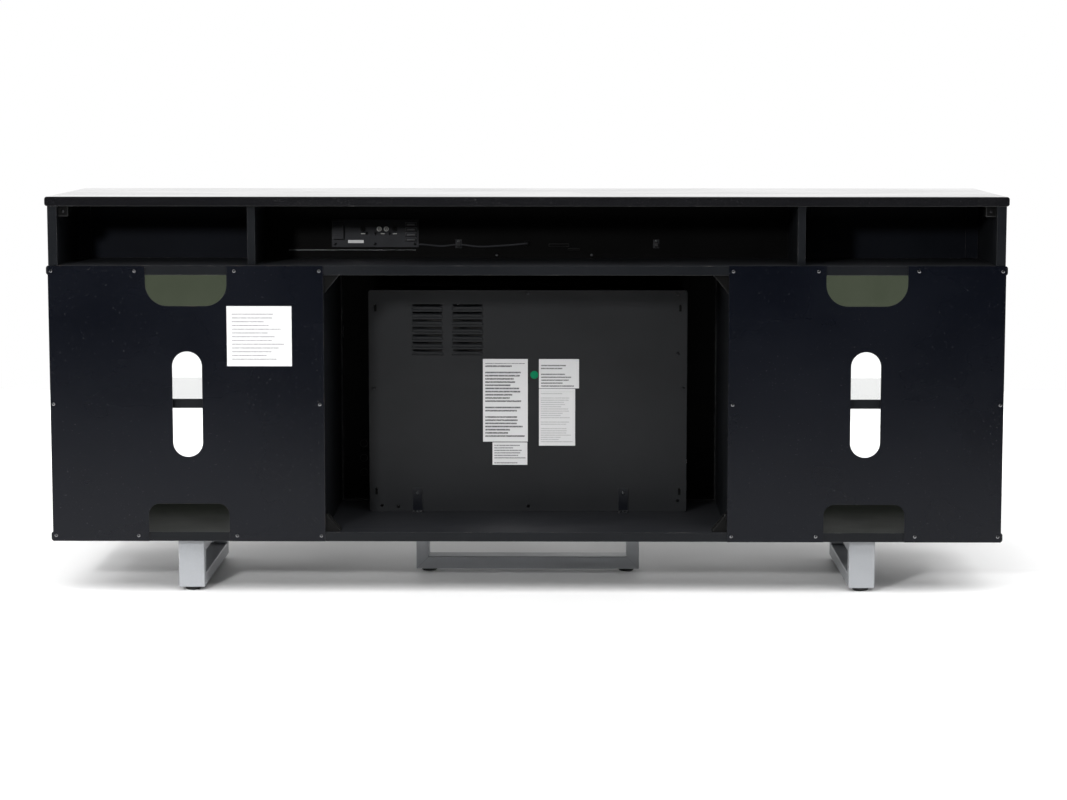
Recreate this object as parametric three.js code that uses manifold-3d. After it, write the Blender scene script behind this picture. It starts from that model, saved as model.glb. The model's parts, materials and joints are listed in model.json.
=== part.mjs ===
// Media cabinet on silver leg loops: two shelf bays with glass doors, an electric fireplace insert
// in the middle bay, and a row of speaker compartments, open at the back, under the top panel.
// Millimetres, +Z up. The origin is on the floor at the middle of the footprint. The doors face -Y
// and the open back faces +Y, so "left" is -X and "right" is +X for someone standing in front.
import * as THREE from 'three';
import { mergeVertices } from 'three/addons/utils/BufferGeometryUtils.js';
import Module from 'manifold-3d';

const wasm = await Module();
wasm.setup();

// ------------------------------------------------------------------ driving dimensions

// Carcass
const WIDTH = 1829; // the three horizontal panels, end to end
const DEPTH = 420; // front edge of the panels to the rear plane
const BOARD = 18; // panels, sides, lower dividers and shelves
const THIN_BOARD = 15; // upper dividers
const END_RADIUS = 5; // rounded ends of the horizontal panels
const SIDE_INSET = 4.5; // the sides stand in from the panel ends
const FRONT_RECESS = 20; // the uprights stand back from the panels' front edge
const LOWER_BAY = 495; // clear height under the middle panel
const UPPER_BAY = 113; // clear height under the top panel
const CENTRE_BAY = 772; // clear width between the lower dividers
const UPPER_CENTRE_BAY = 1033; // clear width between the upper dividers
const UPPER_DIVIDER_SETBACK = 16; // their rear edge, in from the rear plane
const SEAT = 0.3; // gap left where one piece rests on another
const ARC_GAP = 0.01; // left between the two arcs of a fully round end

// Back panels and their openings
const BACK_THICK = 3;
const BACK_LAP = 1; // past the outer face of the side
const VENT_WIDTH = 155;
const VENT_RADIUS = 42;
const TOP_VENT_DEPTH = 77;
const BOTTOM_VENT_DEPTH = 73;
const SLOT_WIDTH = 57;
const SLOT_HEIGHT = 203;

// Shelves
const SHELF_GAP = 1; // each end, to the upright beside it
const SHELF_FRONT_GAP = 12; // behind the front edge of the uprights
const SHELF_REAR_GAP = 12; // in front of the back panel

// Legs and feet
const TUBE_WIDE = 50;
const TUBE_THIN = 25;
const TUBE_WALL = 1.5;
const LOOP_HEIGHT = 94;
const LOOP_SETBACK = 24; // side loops, in from the front edge and the rear plane
const MIDDLE_LOOP_WIDTH = 447;
const MIDDLE_LOOP_SETBACK = 144; // its front face, behind the panels' front edge
const FOOT_HEIGHT = 7;
const FOOT_RADIUS = 16;
const FOOT_TIP_RADIUS = 13;
const FOOT_EDGE = 3; // height of the sloped edge
const FOOT_INSET = 21; // foot centre to the end of its loop
const STUD_RADIUS = 4;
const STUD_LENGTH = 12;
const STUD_CLEARANCE = 0.6;
const FIXING_RADIUS = 3; // screw holes through the top bar of each loop

// Speakers and amplifier
const SPEAKER_DEPTH = 172; // front to rear wall of the speaker row
const SPEAKER_WALL = 12;
const SPEAKER_HEADROOM = 1.7;
const SOUNDBAR_WALL = 4;
const WOOFER_ROOM = 3.5; // from the woofer's flange to the rim of its grille
const TWEETER_RADIUS = 30; // holes in the soundbar
const DRIVER_FLANGE = 5; // flange past the edge of its hole
const DRIVER_FLANGE_THICK = 3;
const DRIVER_CLEARANCE = 0.6;
const MAGNET_SHARE = 0.7; // magnet radius over hole radius
const MAGNET_THICK = 14;
const CAP_SHARE = 0.3; // dust cap radius, and its depth, over hole radius
const SOUNDBAR_DRIVER_SPACING = 520;
const GRILLE_THICK = 12;
const GRILLE_FACE = 3;
const GRILLE_RIM = 6;
const GRILLE_SETBACK = 6; // behind the panels' front edge
const REVEAL = 2; // gap round doors, grilles and trim
const AMP_WIDTH = 172;
const AMP_HEIGHT = 54;
const AMP_FACE = 3;
const AMP_BODY_DEPTH = 60;
const AMP_LIP = 4; // the face laps over the edge of its opening
const AMP_CENTRE_X = 302;
const AMP_ABOVE_PANEL = 22;
const JACK_RADIUS = 3.5;
const JACK_DEPTH = 9;
const JACK_OFFSETS = [-16, 2, 16, 30]; // from the middle of the amplifier face

// Fireplace insert
const FIREBOX_SIDE_GAP = 67; // to each lower divider
const FIREBOX_TOP_GAP = 48; // to the middle panel
const FIREBOX_DEPTH = 144; // front edge of the uprights to its rear face
const SHEET = 1.5;
const SHEET_RADIUS = 5;
const COVER_FLANGE = 24;
const LOUVRE_WIDTH = 60;
const LOUVRE_SLOT = 3.5;
const LOUVRE_PITCH = 15.1;
const LOUVRE_ROWS = 7;
const LOUVRE_COLUMNS = [118, 198.5]; // column centres, in from the cover's right edge
const LOUVRE_TOP = 28; // top row, down from the cover's top edge
const KEYHOLE_WIDTH = 4;
const KEYHOLE_HEIGHT = 11;
const KEYHOLE_INSET = 14;
const KEYHOLE_TOP = 34;
const KEYHOLE_BOTTOM = 42;
const TRIM_THICK = 13;
const TRIM_SHEET = 2;
const TRIM_BORDER = 85; // from the trim's edge to the window, left and right
const TRIM_BASE = 69; // from the trim's lower edge to the window
const TRIM_HEAD = 124; // from the trim's upper edge to the window
const WINDOW_GLASS = 4;
const WINDOW_LAP = 8;
const OUTLET_SLOTS = 3;
const OUTLET_SLOT_HEIGHT = 10;
const OUTLET_PITCH = 15;
const OUTLET_INSET = 6; // heater box to the first slot
const HEATER_WIDTH = 280;
const HEATER_HEIGHT = 60;
const HEATER_DEPTH = 88;
const WHEEL_RADIUS = 20;
const WHEEL_BLADES = 10;
const WHEEL_DISC = 2; // thickness of the end discs
const BLADE_WIDTH = 6;
const BLADE_THICK = 1.2;
const WHEEL_END_GAP = 8;
const AXLE_RADIUS = 4;
const AXLE_CLEARANCE = 0.6;
const AXLE_STUB = 5; // past the wall that carries it
const FLAME_SCREEN_THICK = 3;
const FLAME_SCREEN_DEPTH = 56; // behind the front of the housing
const LOG_BED_DEPTH = 42;
const LOG_BED_HEIGHT = 56;
const LOG_RADIUS = 17;
const FLICKER_DEPTH = 35; // rod centre behind the flame screen
const FLICKER_HEIGHT = 92; // rod centre above the housing's floor
const FLAG_LENGTH = 30;
const FLAG_REACH = 22;
const FLAG_COUNT = 9;
const FLAG_THICK = 1.2;
const FLAG_TURN = Math.PI / 3; // from one flag to the next
const BUTTON_RADIUS = 6;
const BUTTON_CLEARANCE = 0.4;
const BUTTON_PROUD = 1.6;
const BUTTON_LIP = 2;
const BUTTON_PITCH = 30;
const BUTTON_FIRST = 55; // first button above the trim's lower edge
const BUTTON_NAMES = ['button_power', 'button_flame', 'button_heat'];
const BRACKET_WIDTH = 20;
const BRACKET_HEIGHT = 48;
const BRACKET_FOOT = 22;
const BRACKET_SHEET = 2;
const BRACKET_PLACES = { left: -192, right: 222 };
const GLAND_RADIUS = 7;
const GLAND_FLANGE = 4;
const GLAND_LENGTH = 16;
const GLAND_BORE = 4;
const GLAND_HEIGHT = 46;
const GLAND_DEPTH = 50; // in front of the cover's rear face

// Corner braces of the middle bay
const BRACE_ALONG_PANEL = 28;
const BRACE_ALONG_DIVIDER = 34;
const BRACE_DEPTH = 30;
const BRACE_WALL = 3;
const BRACE_SETBACK = 5;
const BRACE_RIBS = 3;

// Glass doors and their pivots
const DOOR_GLASS = 5;
const DOOR_SETBACK = 7; // front face of the glass, behind the panels' front edge
const DOOR_LAP = 14; // over the front edge of the lower divider
const DOOR_EDGE_INSET = 0.5; // outer edge of the glass, in from the side's outer face
const CLAMP_LENGTH = 30;
const CLAMP_HEIGHT = 26;
const CLAMP_THICK = 12;
const CLAMP_BASE = 3;
const PIVOT_INSET = 6; // pivot axis, in from the door's outer edge
const PIVOT_RADIUS = 3;
const PIVOT_CLEARANCE = 0.5;
const PIVOT_LENGTH = 7; // into the panel
const PIVOT_HOLE_DEPTH = 9;

// ------------------------------------------------------------------ derived places

const FRONT = -DEPTH / 2;
const REAR = DEPTH / 2;
const UPRIGHT_FRONT = FRONT + FRONT_RECESS;
const BOARD_REAR = REAR - BACK_THICK;
const BOTTOM_LOW = FOOT_HEIGHT + LOOP_HEIGHT;
const BOTTOM_TOP = BOTTOM_LOW + BOARD;
const MID_LOW = BOTTOM_TOP + LOWER_BAY;
const MID_TOP = MID_LOW + BOARD;
const TOP_LOW = MID_TOP + UPPER_BAY;
const PANEL_END = WIDTH / 2;
const SIDE_OUT = PANEL_END - SIDE_INSET;
const SIDE_IN = SIDE_OUT - BOARD;
const DIVIDER_IN = CENTRE_BAY / 2;
const DIVIDER_OUT = DIVIDER_IN + BOARD;
const UPPER_DIVIDER_IN = UPPER_CENTRE_BAY / 2;
const UPPER_DIVIDER_OUT = UPPER_DIVIDER_IN + THIN_BOARD;
const BAY_CENTRE = (DIVIDER_OUT + SIDE_IN) / 2;
const SPEAKER_REAR = UPRIGHT_FRONT + SPEAKER_DEPTH;
const WOOFER_RADIUS = (UPPER_BAY - 2 * REVEAL - 2 * GRILLE_RIM) / 2 - WOOFER_ROOM - DRIVER_FLANGE;
const SPEAKER_LOW = MID_TOP + SEAT;
const SPEAKER_TOP = TOP_LOW - SPEAKER_HEADROOM;
const COVER_REAR = UPRIGHT_FRONT + FIREBOX_DEPTH;
const COVER_HALF = DIVIDER_IN - FIREBOX_SIDE_GAP;
const COVER_LOW = BOTTOM_TOP + SEAT;
const COVER_TOP = MID_LOW - FIREBOX_TOP_GAP;
const HOUSING_HALF = COVER_HALF - SHEET - SEAT;
const HOUSING_LOW = COVER_LOW + SHEET + SEAT;
const HOUSING_TOP = COVER_TOP - SHEET - SEAT;
const HOUSING_FRONT = UPRIGHT_FRONT + REVEAL;
const HOUSING_REAR = COVER_REAR - SHEET - SEAT;
const HOUSING_FLOOR = HOUSING_LOW + SHEET + SEAT;
const HOUSING_CEILING = HOUSING_TOP - SHEET - SEAT;
const TRIM_FRONT = FRONT + GRILLE_SETBACK;
const TRIM_BACK = TRIM_FRONT + TRIM_THICK;
const TRIM_HALF = DIVIDER_IN - REVEAL;
const TRIM_LOW = BOTTOM_TOP + REVEAL;
const TRIM_TOP = MID_LOW - REVEAL;
const WINDOW_HALF = TRIM_HALF - TRIM_BORDER;
const WINDOW_LOW = TRIM_LOW + TRIM_BASE;
const WINDOW_TOP = TRIM_TOP - TRIM_HEAD;
const HEATER_TOP = HOUSING_CEILING;
const HEATER_LOW = HEATER_TOP - HEATER_HEIGHT;
const HEATER_FRONT = HOUSING_FRONT + SEAT;
const SCREEN_FRONT = HOUSING_FRONT + FLAME_SCREEN_DEPTH;
const SCREEN_REAR = SCREEN_FRONT + FLAME_SCREEN_THICK;
const DOOR_FRONT = FRONT + DOOR_SETBACK;
const DOOR_MIDDLE = DOOR_FRONT + DOOR_GLASS / 2;
const DOOR_OUT = SIDE_OUT - DOOR_EDGE_INSET;
const DOOR_IN = DIVIDER_OUT - DOOR_LAP;
const DOOR_LOW = BOTTOM_TOP + REVEAL;
const DOOR_TOP = MID_LOW - REVEAL;
const PIVOT_X = DOOR_OUT - PIVOT_INSET;
const SIDES = { left: -1, right: 1 };

// ------------------------------------------------------------------ materials

function material(color, roughness, metalness = 0) {
  return new THREE.MeshStandardMaterial({ color, roughness, metalness });
}

const glossBlack = material(0x0b0b0d, 0.12);
const satinBlack = material(0x17181b, 0.45);
const backBoard = material(0x10131a, 0.6);
const speakerBoard = material(0x14151a, 0.6);
const grilleCloth = material(0x1b1b1d, 0.95);
const blackPlastic = material(0x0d0d0f, 0.55);
const amplifierPlastic = material(0x26272a, 0.5);
const fireboxSteel = material(0x2b2d2f, 0.6, 0.3);
const trimSteel = material(0x111214, 0.3, 0.3);
const windowGlass = material(0x30343a, 0.05);
const smokedGlass = material(0x5f645a, 0.05);
const screenPlastic = material(0xb9b4aa, 0.7);
const resinLog = material(0x5a4636, 0.9);
const brightMetal = material(0xb8babd, 0.35, 0.9);
const buttonPlastic = material(0x3b3c3f, 0.4);
const pivotSteel = material(0x9a9ca0, 0.3, 0.9);
const legSilver = material(0xbcbec3, 0.45, 0.4);
const footPlastic = material(0x101011, 0.7);

// ------------------------------------------------------------------ shape helpers

const X_AXIS = new THREE.Vector3(1, 0, 0);
const Y_AXIS = new THREE.Vector3(0, 1, 0);
const Z_AXIS = new THREE.Vector3(0, 0, 1);
const MINUS_Y = new THREE.Vector3(0, -1, 0);

// A closed three.js geometry as a solid that can be joined and cut.
function solid(geometry) {
  const bare = geometry.clone();
  bare.deleteAttribute('normal');
  bare.deleteAttribute('uv');
  const merged = mergeVertices(bare, 1e-4);
  const index = merged.index.array;
  const triVerts = [];
  for (let i = 0; i < index.length; i += 3) {
    const [a, b, c] = [index[i], index[i + 1], index[i + 2]];
    if (a !== b && b !== c && c !== a) triVerts.push(a, b, c);
  }
  const vertProperties = merged.attributes.position.array;
  const mesh = new wasm.Mesh({ numProp: 3, vertProperties, triVerts: new Uint32Array(triVerts) });
  return new wasm.Manifold(mesh);
}

// A box between two corners, whose ends may come in either order.
function block(xa, xb, ya, yb, za, zb) {
  const box = new THREE.BoxGeometry(Math.abs(xb - xa), Math.abs(yb - ya), Math.abs(zb - za));
  box.translate((xa + xb) / 2, (ya + yb) / 2, (za + zb) / 2);
  return solid(box);
}

function rodX(radius, xa, xb, y, z, sides = 16) {
  const rod = new THREE.CylinderGeometry(radius, radius, Math.abs(xb - xa), sides);
  rod.rotateZ(Math.PI / 2);
  rod.translate((xa + xb) / 2, y, z);
  return solid(rod);
}

function rodY(radius, ya, yb, x, z, sides = 16) {
  const rod = new THREE.CylinderGeometry(radius, radius, Math.abs(yb - ya), sides);
  rod.translate(x, (ya + yb) / 2, z);
  return solid(rod);
}

function rodZ(radius, za, zb, x, y, sides = 16) {
  const rod = new THREE.CylinderGeometry(radius, radius, Math.abs(zb - za), sides);
  rod.rotateX(Math.PI / 2);
  rod.translate(x, y, (za + zb) / 2);
  return solid(rod);
}

function roundedOutline(u0, v0, u1, v1, radius) {
  const outline = new THREE.Shape();
  const quarter = Math.PI / 2;
  outline.moveTo(u0 + radius, v0);
  outline.lineTo(u1 - radius, v0);
  outline.absarc(u1 - radius, v0 + radius, radius, -quarter, 0);
  outline.lineTo(u1, v1 - radius);
  outline.absarc(u1 - radius, v1 - radius, radius, 0, quarter);
  outline.lineTo(u0 + radius, v1);
  outline.absarc(u0 + radius, v1 - radius, radius, quarter, 2 * quarter);
  outline.lineTo(u0, v0 + radius);
  outline.absarc(u0 + radius, v0 + radius, radius, 2 * quarter, 3 * quarter);
  return outline;
}

function polygon(points) {
  return new THREE.Shape(points.map(([u, v]) => new THREE.Vector2(u, v)));
}

// An outline drawn in X and Z, carried along Y from y0 to y1.
function extrudeY(outline, y0, y1, curveSegments = 6) {
  const options = { depth: y1 - y0, bevelEnabled: false, curveSegments };
  const bar = new THREE.ExtrudeGeometry(outline, options);
  bar.applyMatrix4(new THREE.Matrix4().makeBasis(X_AXIS, Z_AXIS, MINUS_Y));
  bar.translate(0, y1, 0);
  return solid(bar);
}

// An outline drawn in Y and Z, carried along X from x0 to x1.
function extrudeX(outline, x0, x1, curveSegments = 6) {
  const options = { depth: x1 - x0, bevelEnabled: false, curveSegments };
  const bar = new THREE.ExtrudeGeometry(outline, options);
  bar.applyMatrix4(new THREE.Matrix4().makeBasis(Y_AXIS, Z_AXIS, X_AXIS));
  bar.translate(x0, 0, 0);
  return solid(bar);
}

// A profile of [radius, height] points, from axis to axis and going up, turned about +Z.
function turned(profile, sides) {
  const points = profile.map(([radius, height]) => new THREE.Vector2(radius, height));
  const lathe = new THREE.LatheGeometry(points, sides);
  lathe.rotateX(Math.PI / 2);
  return lathe;
}

const cabinet = new THREE.Group();

function addPart(name, shape, finish, place = [0, 0, 0]) {
  const { vertProperties, triVerts } = shape.getMesh();
  const geometry = new THREE.BufferGeometry();
  geometry.setAttribute('position', new THREE.BufferAttribute(new Float32Array(vertProperties), 3));
  geometry.setIndex(new THREE.BufferAttribute(new Uint32Array(triVerts), 1));
  geometry.computeVertexNormals();
  const mesh = new THREE.Mesh(geometry, finish);
  mesh.name = name;
  mesh.position.set(...place);
  cabinet.add(mesh);
}

function forBothSides(make) {
  for (const [side, sign] of Object.entries(SIDES)) make(side, sign);
}

// ------------------------------------------------------------------ carcass

function horizontalPanel(low, rear) {
  const outline = roundedOutline(-PANEL_END, low, PANEL_END, low + BOARD, END_RADIUS);
  return extrudeY(outline, FRONT, rear, 3);
}

// Blind holes for the door pivots, from the panel's face at z into the board.
function drillPivots(panel, z, direction) {
  const radius = PIVOT_RADIUS + PIVOT_CLEARANCE;
  let drilled = panel;
  const end = z + direction * PIVOT_HOLE_DEPTH;
  for (const sign of Object.values(SIDES)) {
    const hole = rodZ(radius, z - direction, end, sign * PIVOT_X, DOOR_MIDDLE, 12);
    drilled = drilled.subtract(hole);
  }
  return drilled;
}

function backPanel(sign) {
  const inner = sign * DIVIDER_IN;
  const outer = sign * (SIDE_OUT + BACK_LAP);
  const middle = sign * BAY_CENTRE;
  const half = VENT_WIDTH / 2;
  const low = BOTTOM_LOW;
  const past = 2 * VENT_RADIUS;
  const slotMiddle = BOTTOM_TOP + LOWER_BAY / 2;
  const slotLow = slotMiddle - SLOT_HEIGHT / 2;
  const slotTop = slotMiddle + SLOT_HEIGHT / 2;
  const slotHalf = SLOT_WIDTH / 2;
  const cuts = [
    roundedOutline(middle - half, MID_TOP - TOP_VENT_DEPTH, middle + half, MID_TOP + past, VENT_RADIUS),
    roundedOutline(middle - half, low - past, middle + half, low + BOTTOM_VENT_DEPTH, VENT_RADIUS / 2),
    roundedOutline(middle - slotHalf, slotLow, middle + slotHalf, slotTop, slotHalf - ARC_GAP),
  ];
  let panel = block(inner, outer, BOARD_REAR + SEAT, REAR, low, MID_TOP);
  for (const cut of cuts) panel = panel.subtract(extrudeY(cut, BOARD_REAR - 1, REAR + 1, 8));
  return panel;
}

addPart('top_panel', horizontalPanel(TOP_LOW, REAR), glossBlack);
addPart('mid_panel', drillPivots(horizontalPanel(MID_LOW, BOARD_REAR), MID_LOW, 1), satinBlack);
addPart('bottom_panel', drillPivots(horizontalPanel(BOTTOM_LOW, BOARD_REAR), BOTTOM_TOP, -1), satinBlack);

forBothSides((side, sign) => {
  const upright = (inner, outer, rear, low, top) =>
    block(sign * inner, sign * outer, UPRIGHT_FRONT, rear, low + SEAT, top - SEAT);
  const upperDividerRear = REAR - UPPER_DIVIDER_SETBACK;
  const upperSide = upright(SIDE_IN, SIDE_OUT, BOARD_REAR, MID_TOP, TOP_LOW);
  const lowerSide = upright(SIDE_IN, SIDE_OUT, BOARD_REAR, BOTTOM_TOP, MID_LOW);
  const upperDivider = upright(UPPER_DIVIDER_IN, UPPER_DIVIDER_OUT, upperDividerRear, MID_TOP, TOP_LOW);
  const lowerDivider = upright(DIVIDER_IN, DIVIDER_OUT, BOARD_REAR, BOTTOM_TOP, MID_LOW);
  const shelfLow = BOTTOM_TOP + (LOWER_BAY - BOARD) / 2;
  const shelf = block(
    sign * (DIVIDER_OUT + SHELF_GAP),
    sign * (SIDE_IN - SHELF_GAP),
    UPRIGHT_FRONT + SHELF_FRONT_GAP,
    BOARD_REAR - SHELF_REAR_GAP,
    shelfLow,
    shelfLow + BOARD,
  );
  addPart(`upper_side_${side}`, upperSide, satinBlack);
  addPart(`lower_side_${side}`, lowerSide, satinBlack);
  addPart(`upper_divider_${side}`, upperDivider, satinBlack);
  addPart(`lower_divider_${side}`, lowerDivider, satinBlack);
  addPart(`back_panel_${side}`, backPanel(sign), backBoard);
  addPart(`shelf_${side}`, shelf, satinBlack);
});

// ------------------------------------------------------------------ corner braces

// A ribbed plastic angle in one rear corner of the middle bay.
function cornerBrace(signX, cornerZ, directionZ) {
  const x = signX * (DIVIDER_IN - SEAT);
  const z = cornerZ + directionZ * SEAT;
  const at = (u, v) => [x - signX * u, z + directionZ * v];
  const rear = BOARD_REAR - BRACE_SETBACK;
  const front = rear - BRACE_DEPTH;
  const angle = polygon([
    at(0, 0),
    at(BRACE_ALONG_PANEL, 0),
    at(BRACE_ALONG_PANEL, BRACE_WALL),
    at(BRACE_WALL, BRACE_WALL),
    at(BRACE_WALL, BRACE_ALONG_DIVIDER),
    at(0, BRACE_ALONG_DIVIDER),
  ]);
  const rib = polygon([
    at(0, 0),
    at(BRACE_ALONG_PANEL, BRACE_WALL / 2),
    at(BRACE_WALL / 2, BRACE_ALONG_DIVIDER),
  ]);
  let brace = extrudeY(angle, front, rear);
  for (let i = 0; i < BRACE_RIBS; i += 1) {
    const y = front + (i * (BRACE_DEPTH - BRACE_WALL)) / (BRACE_RIBS - 1);
    brace = brace.add(extrudeY(rib, y, y + BRACE_WALL));
  }
  return brace;
}

forBothSides((side, sign) => {
  addPart(`corner_brace_top_${side}`, cornerBrace(sign, MID_LOW, -1), blackPlastic);
  addPart(`corner_brace_bottom_${side}`, cornerBrace(sign, BOTTOM_TOP, 1), blackPlastic);
});

// ------------------------------------------------------------------ legs and feet

// A welded loop of rectangular tube: its outline is drawn in the plane of the loop.
function loopSolid(extrude, u0, u1, w0, w1) {
  const low = FOOT_HEIGHT;
  const top = BOTTOM_LOW - SEAT;
  const rectangle = (inset) =>
    polygon([
      [u0 + inset, low + inset],
      [u1 - inset, low + inset],
      [u1 - inset, top - inset],
      [u0 + inset, top - inset],
    ]);
  const ring = (inset, across) => {
    const outer = extrude(rectangle(inset), w0 + across, w1 - across);
    const inner = extrude(rectangle(TUBE_THIN - inset), w0 - 1, w1 + 1);
    return outer.subtract(inner);
  };
  return ring(0, 0).subtract(ring(TUBE_WALL, TUBE_WALL));
}

// Holes in a loop for its two foot studs and the two screws into the bottom panel.
function drillLoop(loop, places) {
  let drilled = loop;
  for (const [x, y] of places) {
    const stud = rodZ(STUD_RADIUS + STUD_CLEARANCE, FOOT_HEIGHT - 1, FOOT_HEIGHT + TUBE_WALL + 1, x, y, 12);
    const screw = rodZ(FIXING_RADIUS, BOTTOM_LOW - TUBE_THIN - 2, BOTTOM_LOW + 1, x, y, 12);
    drilled = drilled.subtract(stud).subtract(screw);
  }
  return drilled;
}

function foot(x, y) {
  const top = FOOT_HEIGHT - SEAT;
  const profile = [
    [0, 0],
    [FOOT_TIP_RADIUS, 0],
    [FOOT_RADIUS, FOOT_EDGE],
    [FOOT_RADIUS, top],
    [STUD_RADIUS, top],
    [STUD_RADIUS, top + STUD_LENGTH],
    [0, top + STUD_LENGTH],
  ];
  return solid(turned(profile, 16).translate(x, y, 0));
}

forBothSides((side, sign) => {
  const x = sign * BAY_CENTRE;
  const front = FRONT + LOOP_SETBACK;
  const rear = REAR - LOOP_SETBACK;
  const places = { front: [x, front + FOOT_INSET], rear: [x, rear - FOOT_INSET] };
  const loop = loopSolid(extrudeX, front, rear, x - TUBE_WIDE / 2, x + TUBE_WIDE / 2);
  addPart(`leg_loop_${side}`, drillLoop(loop, Object.values(places)), legSilver);
  for (const [end, place] of Object.entries(places)) {
    addPart(`foot_${end}_${side}`, foot(...place), footPlastic);
  }
});

const MIDDLE_LOOP_FRONT = FRONT + MIDDLE_LOOP_SETBACK;
const MIDDLE_LOOP_Y = MIDDLE_LOOP_FRONT + TUBE_WIDE / 2;
const MIDDLE_FOOT_X = MIDDLE_LOOP_WIDTH / 2 - FOOT_INSET - STUD_RADIUS;
const middleLoop = loopSolid(
  extrudeY,
  -MIDDLE_LOOP_WIDTH / 2,
  MIDDLE_LOOP_WIDTH / 2,
  MIDDLE_LOOP_FRONT,
  MIDDLE_LOOP_FRONT + TUBE_WIDE,
);
const middlePlaces = [[-MIDDLE_FOOT_X, MIDDLE_LOOP_Y], [MIDDLE_FOOT_X, MIDDLE_LOOP_Y]];
addPart('leg_loop_middle', drillLoop(middleLoop, middlePlaces), legSilver);
forBothSides((side, sign) => {
  addPart(`foot_middle_${side}`, foot(sign * MIDDLE_FOOT_X, MIDDLE_LOOP_Y), footPlastic);
});

// ------------------------------------------------------------------ speakers and amplifier

// A box with round holes in its front wall, for the drivers.
function speakerCase(x0, x1, wall, holeRadius, holePlaces) {
  const middle = (SPEAKER_LOW + SPEAKER_TOP) / 2;
  const outside = block(x0, x1, UPRIGHT_FRONT, SPEAKER_REAR, SPEAKER_LOW, SPEAKER_TOP);
  const inside = block(
    Math.min(x0, x1) + wall,
    Math.max(x0, x1) - wall,
    UPRIGHT_FRONT + wall,
    SPEAKER_REAR - wall,
    SPEAKER_LOW + wall,
    SPEAKER_TOP - wall,
  );
  let shell = outside.subtract(inside);
  for (const x of holePlaces) {
    shell = shell.subtract(rodY(holeRadius, UPRIGHT_FRONT - 1, UPRIGHT_FRONT + wall + 1, x, middle, 24));
  }
  return shell;
}

// A loudspeaker that faces the front: flange, cone, basket and magnet.
function driver(x, holeRadius) {
  const flange = holeRadius + DRIVER_FLANGE;
  const neck = holeRadius - DRIVER_CLEARANCE;
  const face = SEAT + DRIVER_FLANGE_THICK;
  const magnet = holeRadius * MAGNET_SHARE;
  const magnetBack = -holeRadius - DRIVER_FLANGE_THICK;
  const capEdge = -holeRadius * CAP_SHARE;
  const profile = [
    [0, magnetBack],
    [magnet, magnetBack],
    [magnet, magnetBack + MAGNET_THICK],
    [neck, SEAT],
    [flange, SEAT],
    [flange, face],
    [neck - DRIVER_FLANGE_THICK, face],
    [-capEdge, capEdge],
    [0, capEdge + DRIVER_FLANGE_THICK],
  ];
  const shape = turned(profile, 20);
  shape.rotateX(Math.PI / 2);
  shape.translate(x, UPRIGHT_FRONT, (SPEAKER_LOW + SPEAKER_TOP) / 2);
  return solid(shape);
}

// A cloth-faced frame, open behind, in front of the speaker row.
function grille(x0, x1) {
  const low = MID_TOP + REVEAL;
  const top = TOP_LOW - REVEAL;
  const front = FRONT + GRILLE_SETBACK;
  const back = front + GRILLE_THICK;
  const left = Math.min(x0, x1);
  const right = Math.max(x0, x1);
  const hollow = block(
    left + GRILLE_RIM,
    right - GRILLE_RIM,
    front + GRILLE_FACE,
    back + 1,
    low + GRILLE_RIM,
    top - GRILLE_RIM,
  );
  return block(left, right, front, back, low, top).subtract(hollow);
}

forBothSides((side, sign) => {
  const inner = sign * (UPPER_DIVIDER_OUT + SEAT);
  const outer = sign * (SIDE_IN - SEAT);
  const wooferX = (inner + outer) / 2;
  const grilleInner = sign * (UPPER_DIVIDER_IN + REVEAL / 2);
  const box = speakerCase(inner, outer, SPEAKER_WALL, WOOFER_RADIUS, [wooferX]);
  addPart(`speaker_box_${side}`, box, speakerBoard);
  addPart(`woofer_${side}`, driver(wooferX, WOOFER_RADIUS), blackPlastic);
  addPart(`grille_${side}`, grille(grilleInner, sign * DOOR_OUT), grilleCloth);
});

const AMP_LOW = MID_TOP + AMP_ABOVE_PANEL;
const AMP_TOP = AMP_LOW + AMP_HEIGHT;
const AMP_X0 = AMP_CENTRE_X - AMP_WIDTH / 2;
const AMP_X1 = AMP_CENTRE_X + AMP_WIDTH / 2;
const AMP_BACK = SPEAKER_REAR + SEAT + AMP_FACE;

// The amplifier's face plate, with its body through an opening in the soundbar's rear wall.
function amplifier() {
  const face = block(AMP_X0, AMP_X1, SPEAKER_REAR + SEAT, AMP_BACK, AMP_LOW, AMP_TOP);
  const inset = AMP_LIP + DRIVER_CLEARANCE;
  const body = block(
    AMP_X0 + inset,
    AMP_X1 - inset,
    SPEAKER_REAR - AMP_BODY_DEPTH,
    SPEAKER_REAR + 1,
    AMP_LOW + inset,
    AMP_TOP - inset,
  );
  let plate = face.add(body);
  const jackZ = AMP_LOW + AMP_HEIGHT / 2;
  for (const offset of JACK_OFFSETS) {
    const jackX = AMP_CENTRE_X - offset;
    plate = plate.subtract(rodY(JACK_RADIUS, AMP_BACK - JACK_DEPTH, AMP_BACK + 1, jackX, jackZ, 12));
  }
  return plate;
}

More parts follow.
